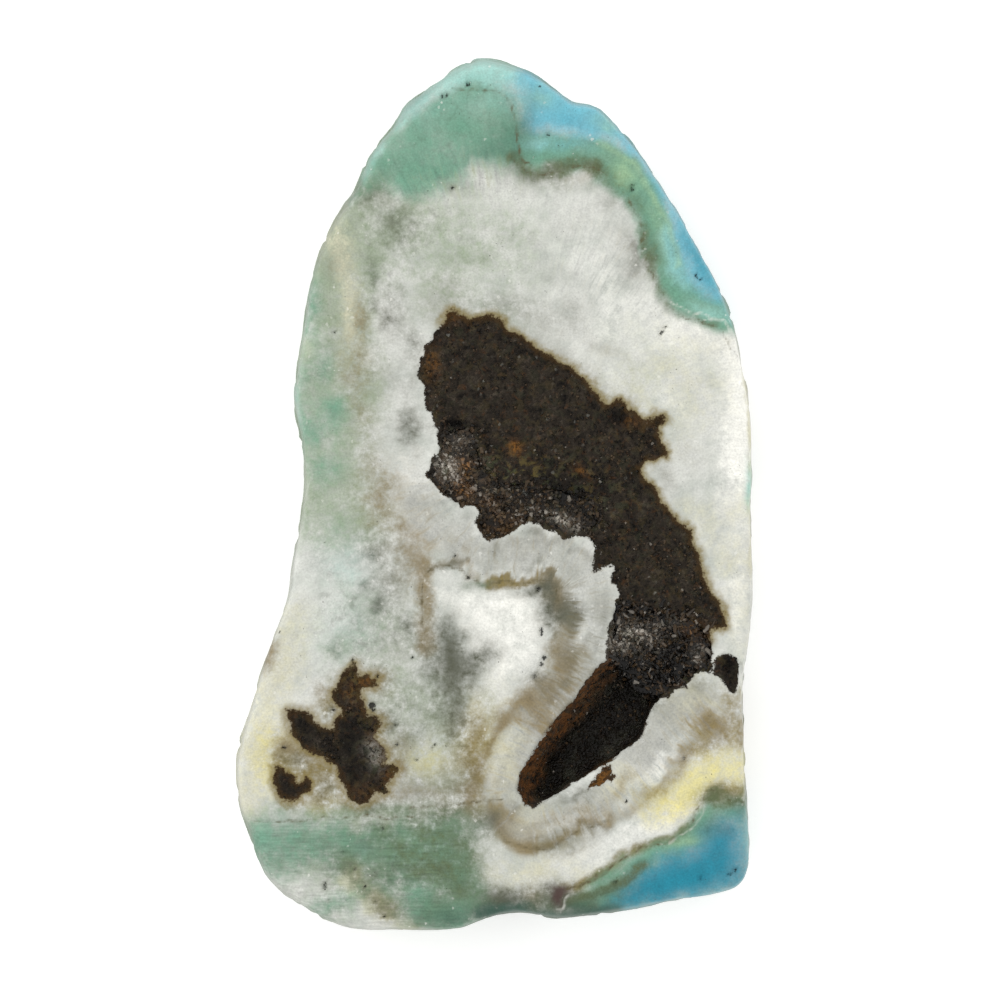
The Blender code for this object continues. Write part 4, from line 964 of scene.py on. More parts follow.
# Where the matrix is rusty or pale
WARM = [
    ("spot", (1.6, 3.5), (0.7, 0.5), -35, 1.0), ("spot", (-2.2, 2.1), (0.6, 0.5), 0, 0.9),
    ("spot", (-2.3, 0.4), (0.7, 0.9), 0, 0.6), ("spot", (6.4, 1.6), (0.8, 0.35), -35, 0.8),
    ("spot", (-0.6, -0.6), (0.9, 0.6), 0, 0.35),
    ("spot", (-4.6, 9.6), (0.6, 1.2), 0, 0.6), ("spot", (0.6, -2.4), (1.4, 0.9), 0, 0.3),
    ("spot", (-3.2, 13.2), (1.2, 0.6), 0, 0.5), ("spot", (10.2, 5.4), (0.7, 0.6), 0, 0.5),
    ("spot", (8.0, -20.9), (1.2, 0.8), 40, 1.0), ("spot", (-9.3, -14.0), (0.9, 0.7), 0, 0.8),
    ("spot", (-10.8, -14.8), (0.5, 1.0), 10, 0.4), ("spot", (-9.9, -22.2), (1.0, 0.7), 0, 0.25),
    ("spot", (14.8, -10.3), (0.6, 1.0), 40, 0.9),
    ("spot", (-8.3, -18.0), (0.7, 0.6), 0, 0.7), ("spot", (-7.9, -21.0), (0.6, 0.6), 0, 0.5),
]
GREY = [
    ("spot", (-2.8, 3.9), (1.1, 0.8), 0, 0.22), ("spot", (-3.5, 2.0), (0.8, 1.1), 30, 1.0),
    ("spot", (10.4, -10.3), (1.7, 0.6), -20, 1.0), ("spot", (9.8, -11.3), (0.8, 0.8), 0, 0.7),
    ("spot", (15.0, -12.0), (0.5, 0.7), 0, 0.6), ("spot", (8.9, -11.4), (0.5, 1.4), 0, 0.6),
    ("spot", (12.6, -9.7), (1.4, 0.3), 10, 0.5), ("spot", (-0.4, 0.1), (1.2, 0.3), 15, 0.25),
    ("spot", (-8.8, -19.3), (0.7, 1.0), 0, 0.9),
    ("spot", (5.2, -2.0), (1.3, 0.4), -22, 1.0), ("spot", (15.2, -11.7), (0.4, 0.7), 20, 0.5),
]

SOOTY = [
    ("spot", (5.4, 0.7), (2.4, 1.1), -15, 0.9), ("spot", (-2.9, 5.3), (1.1, 0.35), 0, 1.0),
    ("spot", (13.0, -13.0), (2.0, 1.0), 30, 0.8), ("spot", (9.3, 5.7), (0.7, 0.6), 0, 1.0),
    ("spot", (-11.2, -18.2), (1.6, 1.6), 0, 0.9), ("spot", (-10.4, -20.4), (1.2, 1.6), 0, 0.7),
    ("spot", (-13.8, -17.2), (1.2, 0.9), 0, 0.6), ("spot", (17.4, -13.2), (0.6, 1.4), 0, 0.8),
    ("spot", (-15.4, -21.8), (0.8, 0.8), 0, 0.6), ("spot", (9.7, -13.3), (0.9, 1.4), 30, 0.9),
    ("spot", (11.2, -14.6), (1.3, 0.8), 30, 0.9), ("spot", (-0.6, -2.2), (1.2, 0.5), 10, 0.5),
]


def recess(places, fields):
    """The slab's fine relief: how far each place lies below the smooth stone"""
    matrix = fields["matrix"]
    rough = 0.10 * cloud(places, 1.0, 21) + 0.07 * cloud(places, 0.42, 22, 2)
    fall = ease(matrix / 0.22) * (SINK + rough)
    fall += 0.012 * (1.0 + cloud(places, 5.0, 23)) + 0.05 * ease(fields["line"] / 0.15 + 0.6)
    return fall + 0.3 * ease(fields["speck"] / 0.2 + 0.7)


SINK = 0.24


def copy_of_node(name):
    """A CAD node's mesh as a bmesh of joined faces"""
    bm = bmesh.new()
    bm.from_mesh(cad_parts[name].data)
    bmesh.ops.remove_doubles(bm, verts=bm.verts, dist=1e-7)
    return bm


def finished(name, bm, material, node):
    """Makes a piece of the object from a bmesh"""
    mesh = bpy.data.meshes.new(name)
    bm.to_mesh(mesh)
    bm.free()
    if "custom_normal" in mesh.attributes:
        mesh.attributes.remove(mesh.attributes["custom_normal"])
    mesh.materials.append(material)
    piece = bpy.data.objects.new(name, mesh)
    bpy.context.collection.objects.link(piece)
    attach(piece, "root")
    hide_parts(node)
    return piece


def read(items, what, width=3):
    values = np.empty(len(items) * width, np.float32)
    items.foreach_get(what, values)
    return values.reshape(-1, width).astype(float) if width > 1 else values.astype(float)


def store(mesh, name, values):
    """Keeps a value for each vertex under a name that the materials read"""
    layer = mesh.attributes.new(name, "FLOAT", "POINT")
    layer.data.foreach_set("value", values.astype(np.float32))


def even_skin(bm, cell):
    """The same body in even square faces"""
    mesh = bpy.data.meshes.new("skin")
    bm.to_mesh(mesh)
    bm.free()
    body = bpy.data.objects.new("skin", mesh)
    bpy.context.collection.objects.link(body)
    remesh = body.modifiers.new("skin", "REMESH")
    remesh.mode = "VOXEL"
    remesh.voxel_size = cell
    even = bmesh.new()
    even.from_object(body, bpy.context.evaluated_depsgraph_get())
    bpy.data.objects.remove(body)
    bpy.data.meshes.remove(mesh)
    return even


def upper_edges(bm):
    """Edges of the lapped face and of the hollows in it"""
    return list({e for f in bm.faces if f.calc_center_median().z > (FACE_Z - HOLLOW_FLOOR) * MM
                 and f.normal.z > 0.35 for e in f.edges})


def slab_mesh(sizes):
    """The slab with its fine relief, and the values that its finish reads"""
    bm = even_skin(copy_of_node(SLAB), sizes.cell)
    bmesh.ops.subdivide_edges(bm, edges=upper_edges(bm), cuts=1, use_grid_fill=True)
    for _ in range(SMOOTHING_PASSES):
        bmesh.ops.smooth_vert(bm, verts=bm.verts, factor=0.5, use_axis_x=True, use_axis_y=True, use_axis_z=True)
    bm.normal_update()
    mesh = bpy.data.meshes.new("slab")
    bm.to_mesh(mesh)
    bm.free()
    places = read(mesh.vertices, "co") / MM
    normals = read(mesh.vertex_normals, "vector")
    fields = stone_fields(places)
    face = FACE_Z - step_fall(places[:, :2])
    hollow = in_hollow(places[:, :2], places[:, 2], 0.25)
    near_face = places[:, 2] > face - 0.55
    edge = near_face & ~hollow & ~near_edge_pit(places[:, :2]) & (fields["matrix"] > -0.5)
    places[edge, 2] = face[edge]
    lapped = edge | (places[:, 2] > face - 0.12)
    fall = recess(places, fields) * sizes.relief
    side = 0.2 * fields["crease"] + fields["rind"] * (0.09 * cloud(places, 1.3, 32, 3) - 0.08)
    inside = (hollow & ~lapped) * (0.10 + 0.14 * cloud(places, 0.8, 33))
    places[:, 2] -= np.where(lapped, fall, 0.0)
    places -= normals * (side + inside)[:, None]
    places = np.clip(places, CAD_LOW, CAD_HIGH)
    places[fields["sawn"] > 0.9, 2] = CAD_LOW[2]
    mesh.vertices.foreach_set("co", (places * MM).ravel().astype(np.float32))
    for name, values in fields.items():
        store(mesh, name, values)
    mesh.shade_smooth()
    return mesh


SMOOTHING_PASSES = 3


# Druse

def scatter(mesh, count, weigh, draw, steepest=0.25):
    """Random places on a mesh's upper side, with the surface's normals there, thickest where weigh says"""
    mesh.calc_loop_triangles()
    corners = np.empty(len(mesh.loop_triangles) * 3, np.int32)
    mesh.loop_triangles.foreach_get("vertices", corners)
    triangles = (read(mesh.vertices, "co") / MM)[corners.reshape(-1, 3)]
    normals = read(mesh.loop_triangles, "normal")
    areas = read(mesh.loop_triangles, "area", 1)
    weights = areas * (normals[:, 2] > steepest) * weigh(triangles.mean(axis=1))
    chosen = draw.choice(len(weights), count, p=weights / weights.sum())
    shares = draw.dirichlet((1.0, 1.0, 1.0), count)
    return (triangles[chosen] * shares[:, :, None]).sum(axis=1), normals[chosen]


def crystal(bm, tone, place, normal, radius, length, lean, sides, draw):
    """One pointed crystal with flat sides that stands on the surface and leans its own way"""
    way = Vector(normal) + lean * Vector(draw.normal(size=3))
    way.z = abs(way.z)
    way.normalize()
    pose = Matrix.Translation((Vector(place) + 0.25 * length * way) * MM)
    pose = pose @ way.to_track_quat("Z", "Y").to_matrix().to_4x4()
    pose = pose @ Matrix.Rotation(2 * math.pi * draw.random(), 4, "Z") @ Matrix.Scale(MM, 4)
    verts = bmesh.ops.create_cone(bm, cap_ends=True, cap_tris=True, segments=sides, radius1=radius,
                                  radius2=(0.15 + 0.6 * draw.random()) * radius, depth=length, matrix=pose)["verts"]
    for v in verts:
        v[tone[0]] = tone[1]
        v.co.z = min(v.co.z, (FACE_Z - 0.03) * MM)


def crystals(bm, places, normals, sizes, stretch, lean, tones, draw, sides=6):
    """Grows a crystal at each place"""
    for first in range(0, len(places), BATCH):
        batch = bmesh.new()
        layer = batch.verts.layers.float.new("tone")
        for number in range(first, min(first + BATCH, len(places))):
            radius = sizes[0] + (sizes[1] - sizes[0]) * draw.random() ** 2
            length = radius * (stretch[0] + (stretch[1] - stretch[0]) * draw.random())
            tone = (layer, float(tones[number]))
            crystal(batch, tone, places[number], normals[number], radius, length, lean, sides, draw)
        mesh = bpy.data.meshes.new("batch")
        batch.to_mesh(mesh)
        batch.free()
        bm.from_mesh(mesh)
        bpy.data.meshes.remove(mesh)


BATCH = 150


def fit_crust(bm, hollow):
    """Pushes a crust's sides into the walls of its hollow, and its top up to the matrix at the rim"""
    bm.normal_update()
    places = np.array([v.co for v in bm.verts]) / MM
    normals = np.array([v.normal for v in bm.verts])
    depth, _ = depth_inside(places[:, :2], hollow)
    upright = np.abs(normals[:, 2]) < 0.8
    places[:, :2] += normals[:, :2] * (upright * (CRUST_REACH + 0.25 * cloud(places, 0.9, 83)))[:, None]
    top = places[:, 2] > places[:, 2].mean()
    low = FACE_Z - RIM_DEPTH - places[:, 2]
    lift = low * (1.0 - ease((depth - CRUST_REACH) / 1.3)) + 0.22 * (1.0 + cloud(places, 1.2, 81))
    places[:, 2] += np.where(top, np.minimum(lift, low) + 0.1 * cloud(places, 0.4, 82), 0.0)
    for v, place in zip(bm.verts, places):
        v.co = Vector(place) * MM


CRUST_REACH = 0.6
RIM_DEPTH = 0.4


def crystal_tones(places, low, spread, draw):
    """How light each crystal is: by chance, in patches, and rusty or pale where the stone is"""
    tones = low + spread * draw.random(len(places)) ** 1.5 + 0.12 * cloud(places, 0.9, 61)
    tones += 0.3 * zone_mask(places[:, :2], GREY) - 0.35 * zone_mask(places[:, :2], SOOTY)
    # A few crystals, chosen by chance, are made pale: white crystals that also serve as painted glints
    return np.clip(np.where(draw.random(len(places)) > 0.985, 0.9, tones), 0.0, 1.0)





def crust_piece(name, node, material, hollow, count, sizes, stretch, lean, tones, seed):
    """A hollow's crust: its CAD body, with fine crystals grown over it and up the walls round it"""
    draw = np.random.default_rng(seed)
    loop = np.array(hollow)
    bm = copy_of_node(node)
    for _ in range(3):
        bmesh.ops.subdivide_edges(bm, edges=[e for e in bm.edges if e.calc_length() > 0.25 * MM], cuts=1)
    fit_crust(bm, loop)
    layer = bm.verts.layers.float.new("tone")
    mesh = bpy.data.meshes.new("crust")
    bm.to_mesh(mesh)
    on_crust = scatter(mesh, count, lambda at: 1.0 + 0.0 * at[:, 0], draw)
    bpy.data.meshes.remove(mesh)
    on_walls = scatter(bpy.data.objects["banded_slab"].data, count, lambda at: near_hollow(at, loop), draw, -0.2)
    places, normals = (np.vstack(pair) for pair in zip(on_crust, on_walls))
    for v, tone in zip(bm.verts, crystal_tones(np.array([v.co for v in bm.verts]) / MM, *tones, draw)):
        v[layer] = 0.5 * tone
    crystals(bm, places, normals, sizes, stretch, lean, crystal_tones(places, *tones, draw), draw)
    mineral_tints(finished(name, bm, material, node))


def mineral_tints(piece):
    """Keeps how rusty and how pale the matrix is at each vertex of a piece"""
    places = read(piece.data.vertices, "co")[:, :2] / MM
    store(piece.data, "warm", zone_mask(places, WARM))
    store(piece.data, "grey", zone_mask(places, GREY))
    store(piece.data, "sooty", zone_mask(places, SOOTY))


def near_hollow(places, loop):
    """Where a hollow's crystals grow: on its walls, and thinning out over the matrix round it"""
    depth = depth_inside(places[:, :2], loop)[0]
    matrix = depth_inside(places[:, :2], np.array(MATRIX))[0]
    return ease((depth + 1.3) / 1.3) * (matrix > 0.1) * (places[:, 2] > FACE_Z - 3.0)


# Nodes

class Tree:
    """Short calls that add nodes to one node tree"""

    def __init__(self, tree):
        self.tree = tree
        self.feet = 0

    def add(self, kind, inputs=None, **settings):
        node = self.tree.nodes.new("ShaderNode" + kind)
        node.location = (190 * (self.feet % 12), -220 * (self.feet // 12))
        self.feet += 1
        for name, value in settings.items():
            setattr(node, name, value)
        for key, value in (inputs or {}).items():
            self.feed(node.inputs[key], value)
        return node

    def feed(self, socket, value):
        if isinstance(value, bpy.types.NodeSocket):
            self.tree.links.new(value, socket)
        else:
            socket.default_value = value

    def math(self, operation, *values, clamp=False):
        return self.add("Math", dict(enumerate(values)), operation=operation, use_clamp=clamp).outputs[0]

    def attribute(self, name):
        return self.add("Attribute", attribute_name=name).outputs["Fac"]

    def step(self, value, low, high, start=0.0, end=1.0):
        inputs = {"Value": value, "From Min": low, "From Max": high, "To Min": start, "To Max": end}
        return self.add("MapRange", inputs, interpolation_type="SMOOTHSTEP").outputs["Result"]

    def mix(self, share, first, second, blend="MIX"):
        inputs = {0: share, 6: first, 7: second}
        return self.add("Mix", inputs, data_type="RGBA", blend_type=blend).outputs[2]

    def noise(self, places, size, detail=3.0, roughness=0.55, distortion=0.0):
        """Noise with lumps of about the given size in millimetres"""
        inputs = {"Vector": places, "Scale": 1.0 / (size * MM), "Detail": detail, "Roughness": roughness,
                  "Distortion": distortion}
        return self.add("TexNoise", inputs).outputs["Fac"]

    def group(self, group, inputs):
        node = self.add("Group", node_tree=group)
        for key, value in inputs.items():
            self.feed(node.inputs[key], value)
        return node.outputs

    def centred(self, value, amount):
        """A value about 0.5 made one about 0"""
        return self.math("MULTIPLY_ADD", value, amount, -0.5 * amount)


def new_group(name, inputs, outputs):
    """A node group with the given sockets, as a tree with its way in and its way out"""
    group = bpy.data.node_groups.new(name, "ShaderNodeTree")
    for way, sockets in (("INPUT", inputs), ("OUTPUT", outputs)):
        for label, kind in sockets.items():
            group.interface.new_socket(label, in_out=way, socket_type="NodeSocket" + kind)
    tree = Tree(group)
    entry = group.nodes.new("NodeGroupInput")
    entry.location = (-300, 0)
    leave = group.nodes.new("NodeGroupOutput")
    leave.location = (2500, 0)
    return group, tree, entry.outputs, leave.inputs


def zone_layer_group():
    """Lays one colour over another where a mask says, with a border broken up by a grain"""
    group, tree, given, out = new_group(
        "Zone layer", {"Base": "Color", "Zone": "Color", "Mask": "Float", "Grain": "Float"}, {"Color": "Color"})
    rest = tree.math("SUBTRACT", 1.0, given["Mask"])
    border = tree.math("MULTIPLY", given["Mask"], rest)
    push = tree.math("MULTIPLY", tree.centred(given["Grain"], 7.0), border)
    mask = tree.math("ADD", given["Mask"], push, clamp=True)
    tree.feed(out["Color"], tree.mix(mask, given["Base"], given["Zone"]))
    return group


def crystal_grain_group():
    """Fine sugary grain: how light it is, how high it stands and where a facet glints"""
    group, tree, given, out = new_group(
        "Crystal grain", {"Places": "Vector", "Size": "Float"},
        {"Shade": "Float", "Height": "Float", "Glint": "Float"})
    scale = tree.math("DIVIDE", 1.0 / MM, given["Size"])
    cells = tree.add("TexVoronoi", {"Vector": given["Places"], "Scale": scale}, feature="F1")
    lumps = tree.add("TexNoise", {"Vector": given["Places"], "Scale": scale, "Detail": 2.0})
    tree.feed(out["Shade"], tree.math("ADD", tree.math("MULTIPLY", cells.outputs["Color"], 0.5),
                                      tree.math("MULTIPLY", lumps.outputs["Fac"], 0.5)))
    tree.feed(out["Height"], tree.math("SUBTRACT", lumps.outputs["Fac"], cells.outputs["Distance"]))
    tree.feed(out["Glint"], tree.step(cells.outputs["Color"], 0.88, 0.95))
    return group


def new_material(name):
    material = bpy.data.materials.new(name)
    material.use_nodes = True
    material.node_tree.nodes.clear()
    tree = Tree(material.node_tree)
    places = tree.add("TexCoord").outputs["Object"]
    return material, tree, places


def close_material(tree, colour, roughness, height, **constants):
    """Joins a colour, a roughness and a height in millimetres to the surface"""
    bump = tree.add("Bump", {"Height": height, "Distance": MM, "Strength": 1.0}).outputs["Normal"]
    inputs = {"Base Color": colour, "Roughness": roughness, "Normal": bump}
    inputs.update({key.replace("_", " "): value for key, value in constants.items()})
    shader = tree.add("BsdfPrincipled", inputs)
    tree.add("OutputMaterial", {"Surface": shader.outputs["BSDF"]})


def full(colour):
    return (*colour, 1.0)


def matrix_colour(tree, places, colours):
    """Brown matrix: umber and dun grains with soot between them, iron stains, and a few grains painted grey white as
    glints
    """
    group = bpy.data.node_groups["Crystal grain"]
    grain = tree.group(group, {"Places": places, "Size": 0.2})
    coarse = tree.group(group, {"Places": places, "Size": 0.55})
    patchy = tree.noise(places, 1.6, 4.0)
    shade = tree.math("ADD", tree.centred(grain["Shade"], 0.6), tree.centred(coarse["Shade"], 0.45))
    shade = tree.math("ADD", shade, tree.math("ADD", tree.centred(patchy, 0.5), 0.5))
    colour = tree.mix(tree.step(shade, 0.22, 0.55), full(colours.soot), full(colours.umber))
    colour = tree.mix(tree.step(shade, 0.52, 0.95, 0.0, 0.75), colour, full(colours.dun))
    rusty = tree.math("MULTIPLY", tree.step(tree.noise(places, 0.45, 4.0, distortion=0.6), 0.53, 0.75), 0.3)
    colour = tree.mix(rusty, colour, full(colours.rust))
    mossy = tree.step(tree.noise(places, 0.7, 4.0, distortion=0.5), 0.46, 0.62)
    mossy = tree.math("MULTIPLY", mossy, tree.math("MULTIPLY_ADD", tree.attribute("dappled"), 0.6, 0.07))
    moss = tree.mix(tree.step(tree.noise(places, 1.3, 2.0), 0.42, 0.58), full(colours.khaki), full(colours.olive))
    colour = tree.mix(mossy, colour, moss)
    chips = tree.noise(places, 0.35, 3.0, distortion=0.5)
    broken = tree.step(chips, 0.42, 0.6, 0.25, 0.95)
    warm = tree.math("MULTIPLY", tree.attribute("warm"), broken)
    colour = tree.mix(warm, colour, full(colours.ochre))
    sooty = tree.math("MULTIPLY", tree.attribute("sooty"), tree.step(patchy, 0.3, 0.6, 1.0, 0.65))
    colour = tree.mix(sooty, colour, full(colours.soot))
    grey = tree.math("MULTIPLY", tree.attribute("grey"), tree.step(chips, 0.6, 0.48, 0.15, 0.9))
    frost = tree.mix(tree.step(coarse["Shade"], 0.25, 0.5), full(colours.smoke), full(colours.druse))
    colour = tree.mix(grey, colour, frost)
    # Painted glints: a few grains turned grey white
    sparse = tree.step(tree.noise(places, 0.9, 2.0), 0.45, 0.65)
    painted_glint = tree.math("MULTIPLY", grain["Glint"], tree.math("MULTIPLY", sparse, 0.25))
    return tree.mix(painted_glint, colour, full(colours.shade)), grain


def stone_colour(tree, places, colours, noises):
    """The white, green and blue stone: its zones one over another, with fibres, clouds, lines and flecks"""
    mottle, ragged, fine, fibre, rings, scratch = noises
    clouds = tree.noise(places, 0.9, 5.0, 0.6, 0.4)
    fibrous = tree.attribute("fibrous")
    streaky = tree.math("MULTIPLY_ADD", tree.math("SUBTRACT", fibre, ragged), fibrous, ragged)
    softly = tree.math("MULTIPLY_ADD", ragged, 0.4, 0.3)
    colour = tree.mix(tree.step(mottle, 0.38, 0.72), full(colours.white), full(colours.shade))
    layer = bpy.data.node_groups["Zone layer"]
    for name in LAYERS:
        inputs = {"Base": colour, "Zone": full(getattr(colours, name)), "Mask": tree.attribute(name),
                  "Grain": softly if name in SOFT_LAYERS else streaky}
        colour = tree.group(layer, inputs)["Color"]
    dapple = tree.math("MULTIPLY", tree.step(clouds, 0.48, 0.72), tree.attribute("dappled"))
    colour = tree.mix(tree.math("MULTIPLY", dapple, 0.45), colour, full(colours.smoke))
    light = tree.math("MULTIPLY", tree.centred(fibre, 1.0), tree.math("MULTIPLY_ADD", fibrous, 1.0, 0.25))
    light = tree.math("ADD", light, tree.math("MULTIPLY", tree.centred(rings, 0.3), fibrous))
    light = tree.math("ADD", light, tree.math("MULTIPLY", tree.centred(scratch, 0.8), tree.attribute("scratched")))
    for noise, amount in ((fine, 0.5), (ragged, 0.4), (mottle, 0.25)):
        light = tree.math("ADD", light, tree.centred(noise, amount))
    colour = tree.mix(1.0, colour, tree.math("ADD", 1.0, light), "MULTIPLY")
    dusky = tree.math("MULTIPLY", tree.step(fibre, 0.52, 0.72), tree.math("MULTIPLY", fibrous, 0.3))
    colour = tree.mix(dusky, colour, full(colours.tan))
    sugar = tree.group(bpy.data.node_groups["Crystal grain"], {"Places": places, "Size": 0.17})
    flecks = tree.math("MULTIPLY", sugar["Glint"], tree.step(tree.noise(places, 1.8, 2.0), 0.42, 0.65, 0.0, 0.4))
    flecks = tree.math("MULTIPLY", flecks, tree.math("SUBTRACT", 1.0, tree.attribute("lagoon")))
    colour = tree.mix(flecks, colour, full(colours.bright))
    dust = tree.math("MULTIPLY", tree.step(tree.noise(places, 0.22, 2.0), 0.7, 0.76),
                     tree.step(tree.noise(places, 4.0, 2.0), 0.45, 0.6, 0.0, 0.7))
    colour = tree.mix(dust, colour, full(colours.umber))
    vein = tree.step(tree.math("ADD", tree.attribute("vein"), tree.centred(ragged, 0.3)), -0.12, 0.12, 0.0, 0.45)
    colour = tree.mix(vein, colour, full(colours.bright))
    line = tree.step(tree.math("ADD", tree.attribute("line"), tree.centred(ragged, 0.35)), -0.12, 0.1)
    line = tree.math("MULTIPLY", line, tree.step(tree.noise(places, 0.6, 4.0), 0.38, 0.6, 0.3, 0.95))
    return tree.mix(line, colour, full(colours.line))


def stone_material(colours):
    """The slab: milky fibrous zones, growth lines and veins, stained borders, and the matrix"""
    material, tree, places = new_material("Banded hemimorphite")
    mottle = tree.noise(places, 2.4, 5.0, 0.6)
    ragged = tree.noise(places, 0.55, 5.0, 0.65)
    fine = tree.noise(places, 0.15, 2.0)
    outward = tree.attribute("outward")
    across = tree.math("ADD", tree.attribute("across"), tree.centred(tree.noise(places, 1.4, 3.0), 0.7))
    threads = tree.add("CombineXYZ", {"X": tree.math("MULTIPLY", across, 1.0 / 0.3),
                                      "Y": tree.math("MULTIPLY", outward, 1.0 / 1.6)})
    near = tree.noise(threads.outputs[0], 1.0 / MM, 3.0)
    threads = tree.add("CombineXYZ", {"X": tree.math("MULTIPLY", tree.attribute("spread"), 1.0 / 0.35),
                                      "Y": tree.math("MULTIPLY", outward, 1.0 / 2.0)})
    far = tree.noise(threads.outputs[0], 1.0 / MM, 3.0)
    fibre = tree.math("MULTIPLY_ADD", tree.math("SUBTRACT", far, near), tree.step(outward, 3.0, 7.0), near)
    layers = tree.add("CombineXYZ", {"X": tree.math("MULTIPLY", across, 1.0 / 9.0),
                                     "Y": tree.math("MULTIPLY", outward, 1.0 / 0.45)})
    rings = tree.noise(layers.outputs[0], 1.0 / MM, 2.0)
    cut = tree.add("VectorMath", {0: places, 1: (0.12, 1.0, 1.0)}, operation="MULTIPLY").outputs[0]
    scratch = tree.noise(cut, 0.2, 3.0)
    colour = stone_colour(tree, places, colours, (mottle, ragged, fine, fibre, rings, scratch))
    jagged = tree.math("ADD", tree.centred(ragged, 0.85), tree.centred(fine, 0.35))
    depth = tree.math("ADD", tree.attribute("matrix"), jagged)
    stained = tree.attribute("stain")
    stain = tree.math("MULTIPLY", tree.step(depth, -0.75, -0.05), stained)
    colour = tree.mix(tree.math("MULTIPLY", stain, 0.85), colour, full(colours.olive))
    halo = tree.math("MULTIPLY", tree.step(depth, -0.16, 0.0), tree.step(stained, 0.0, 0.6, 0.25, 0.6))
    colour = tree.mix(halo, colour, full(colours.fringe))
    brown, grain = matrix_colour(tree, places, colours)
    fringe = tree.math("MULTIPLY", tree.step(depth, 0.55, 0.0), tree.math("MULTIPLY", stained, 0.7))
    brown = tree.mix(fringe, brown, full(colours.fringe))
    # Rust on the vug's near wall: iron stain, and the painted lit side of the hollow
    wall = tree.math("MULTIPLY", tree.attribute("wall"), tree.step(ragged, 0.4, 0.6, 0.1, 0.8))
    brown = tree.mix(wall, brown, full(colours.rust))
    # Painted shade in the vug's deep part, over the matrix's own dark colour
    brown = tree.mix(tree.math("MULTIPLY", tree.attribute("deep"), 0.8), brown, full(colours.soot))
    # Painted sheen: greyish patches over the vug's deep part
    painted_sheen = tree.math("MULTIPLY", tree.attribute("deep"), tree.step(tree.noise(places, 1.6, 3.0), 0.5, 0.68, 0.0, 0.22))
    brown = tree.mix(painted_sheen, brown, full(colours.smoke))
    inside = tree.step(depth, -0.04, 0.04)
    colour = tree.mix(inside, colour, brown)
    speck = tree.step(tree.math("ADD", tree.attribute("speck"), tree.centred(fine, 0.4)), -0.05, 0.05, 0.0, 0.9)
    colour = tree.mix(speck, colour, full(colours.soot))
    weathered = tree.math("MULTIPLY", tree.attribute("rind"), tree.step(mottle, 0.35, 0.65, 0.1, 0.5))
    colour = tree.mix(weathered, colour, full(colours.sage))
    # Painted shade where the face rounds over at the outline, and also the duller weathered tone of the sides
    colour = tree.mix(tree.math("MULTIPLY", tree.attribute("rim"), 0.32), colour, full(colours.smoke))
    # The creases of the rough sides are darker khaki
    crease_darkening = tree.math("MULTIPLY", tree.attribute("crease"), tree.step(ragged, 0.32, 0.62, 0.15, 0.9))
    dust = tree.math("MULTIPLY", tree.attribute("rind"), tree.step(tree.noise(places, 3.5, 5.0), 0.45, 0.7, 0.0, 0.45))
    colour = tree.mix(tree.math("MAXIMUM", crease_darkening, dust), colour, full(colours.khaki))
    satin = tree.math("ADD", 0.48, tree.centred(fine, 0.2))
    dull = tree.math("SUBTRACT", 0.82, tree.math("MULTIPLY", tree.attribute("deep"), 0.5))
    roughness = tree.math("ADD", tree.math("MULTIPLY", inside, tree.math("SUBTRACT", dull, satin)), satin)
    sawn = tree.math("MULTIPLY", tree.noise(cut, 0.3, 2.0), tree.attribute("sawn"))
    polish = tree.math("ADD", tree.math("MULTIPLY", fine, 0.006), tree.math("MULTIPLY", fibre, 0.008))
    polish = tree.math("ADD", polish, tree.math("MULTIPLY", sawn, 0.03))
    marks = tree.math("MULTIPLY", scratch, tree.attribute("scratched"))
    polish = tree.math("ADD", polish, tree.math("MULTIPLY", marks, 0.012))
    lumps = tree.group(bpy.data.node_groups["Crystal grain"], {"Places": places, "Size": 0.8})["Height"]
    crusty = tree.math("ADD", tree.math("MULTIPLY", ragged, 0.15), tree.math("MULTIPLY", lumps, 0.16))
    polish = tree.math("ADD", polish, tree.math("MULTIPLY", tree.attribute("rind"), crusty))
    gritty = tree.math("MULTIPLY", inside, tree.math("MULTIPLY", grain["Height"], 0.12))
    close_material(tree, colour, roughness, tree.math("ADD", polish, gritty), Specular_IOR_Level=0.16)
    return material


def druse_material(name, colours, darkness, roughness, coat):
    """Small crystals in the matrix's colours, each with a tone of its own from dark to pale"""
    material, tree, places = new_material(name)
    colour, grain = matrix_colour(tree, places, colours)
    dark = tree.math("MULTIPLY", tree.math("SUBTRACT", 1.0, tree.attribute("grey")), darkness)
    colour = tree.mix(dark, colour, full(colours.soot))
    tone = tree.attribute("tone")
    colour = tree.mix(1.0, colour, tree.step(tone, 0.0, 0.9, 0.3, 2.0), "MULTIPLY")
    tawny = tree.math("MULTIPLY", tree.step(tone, 0.25, 0.35, 0.0, 0.5), tree.step(tone, 0.6, 0.45))
    colour = tree.mix(tawny, colour, full(colours.tawny))
    # Pale crystals: frosty grey ones where the stone is grey, and the few pale ones by chance, which also serve as
    # painted glints
    pale = tree.step(tone, 0.75, 1.0, 0.0, 0.6)
    colour = tree.mix(pale, colour, full(colours.druse))
    gloss = tree.step(grain["Shade"], 0.2, 0.8, 0.7 * roughness, 1.3 * roughness)
    height = tree.math("MULTIPLY", grain["Height"], 0.03)
    close_material(tree, colour, gloss, height, Specular_IOR_Level=0.2, Coat_Weight=coat, Coat_Roughness=0.15)
    return material


# Settings

def linear(rgb):
    """A colour of 0 to 255 as Blender's linear values"""
    return tuple(v / 255 / 12.92 if v < 10.3 else ((v / 255 + 0.055) / 1.055) ** 2.4 for v in rgb)


def colour_setting(label, words, rgb):
    return FloatVectorProperty(name=label, description=words, subtype="COLOR", size=3, min=0.0, max=1.0,
                               default=linear(rgb))


def length_setting(label, words, millimetres):
    return FloatProperty(name=label, description=words, subtype="DISTANCE", unit="LENGTH", min=0.0,
                         default=millimetres * MM)


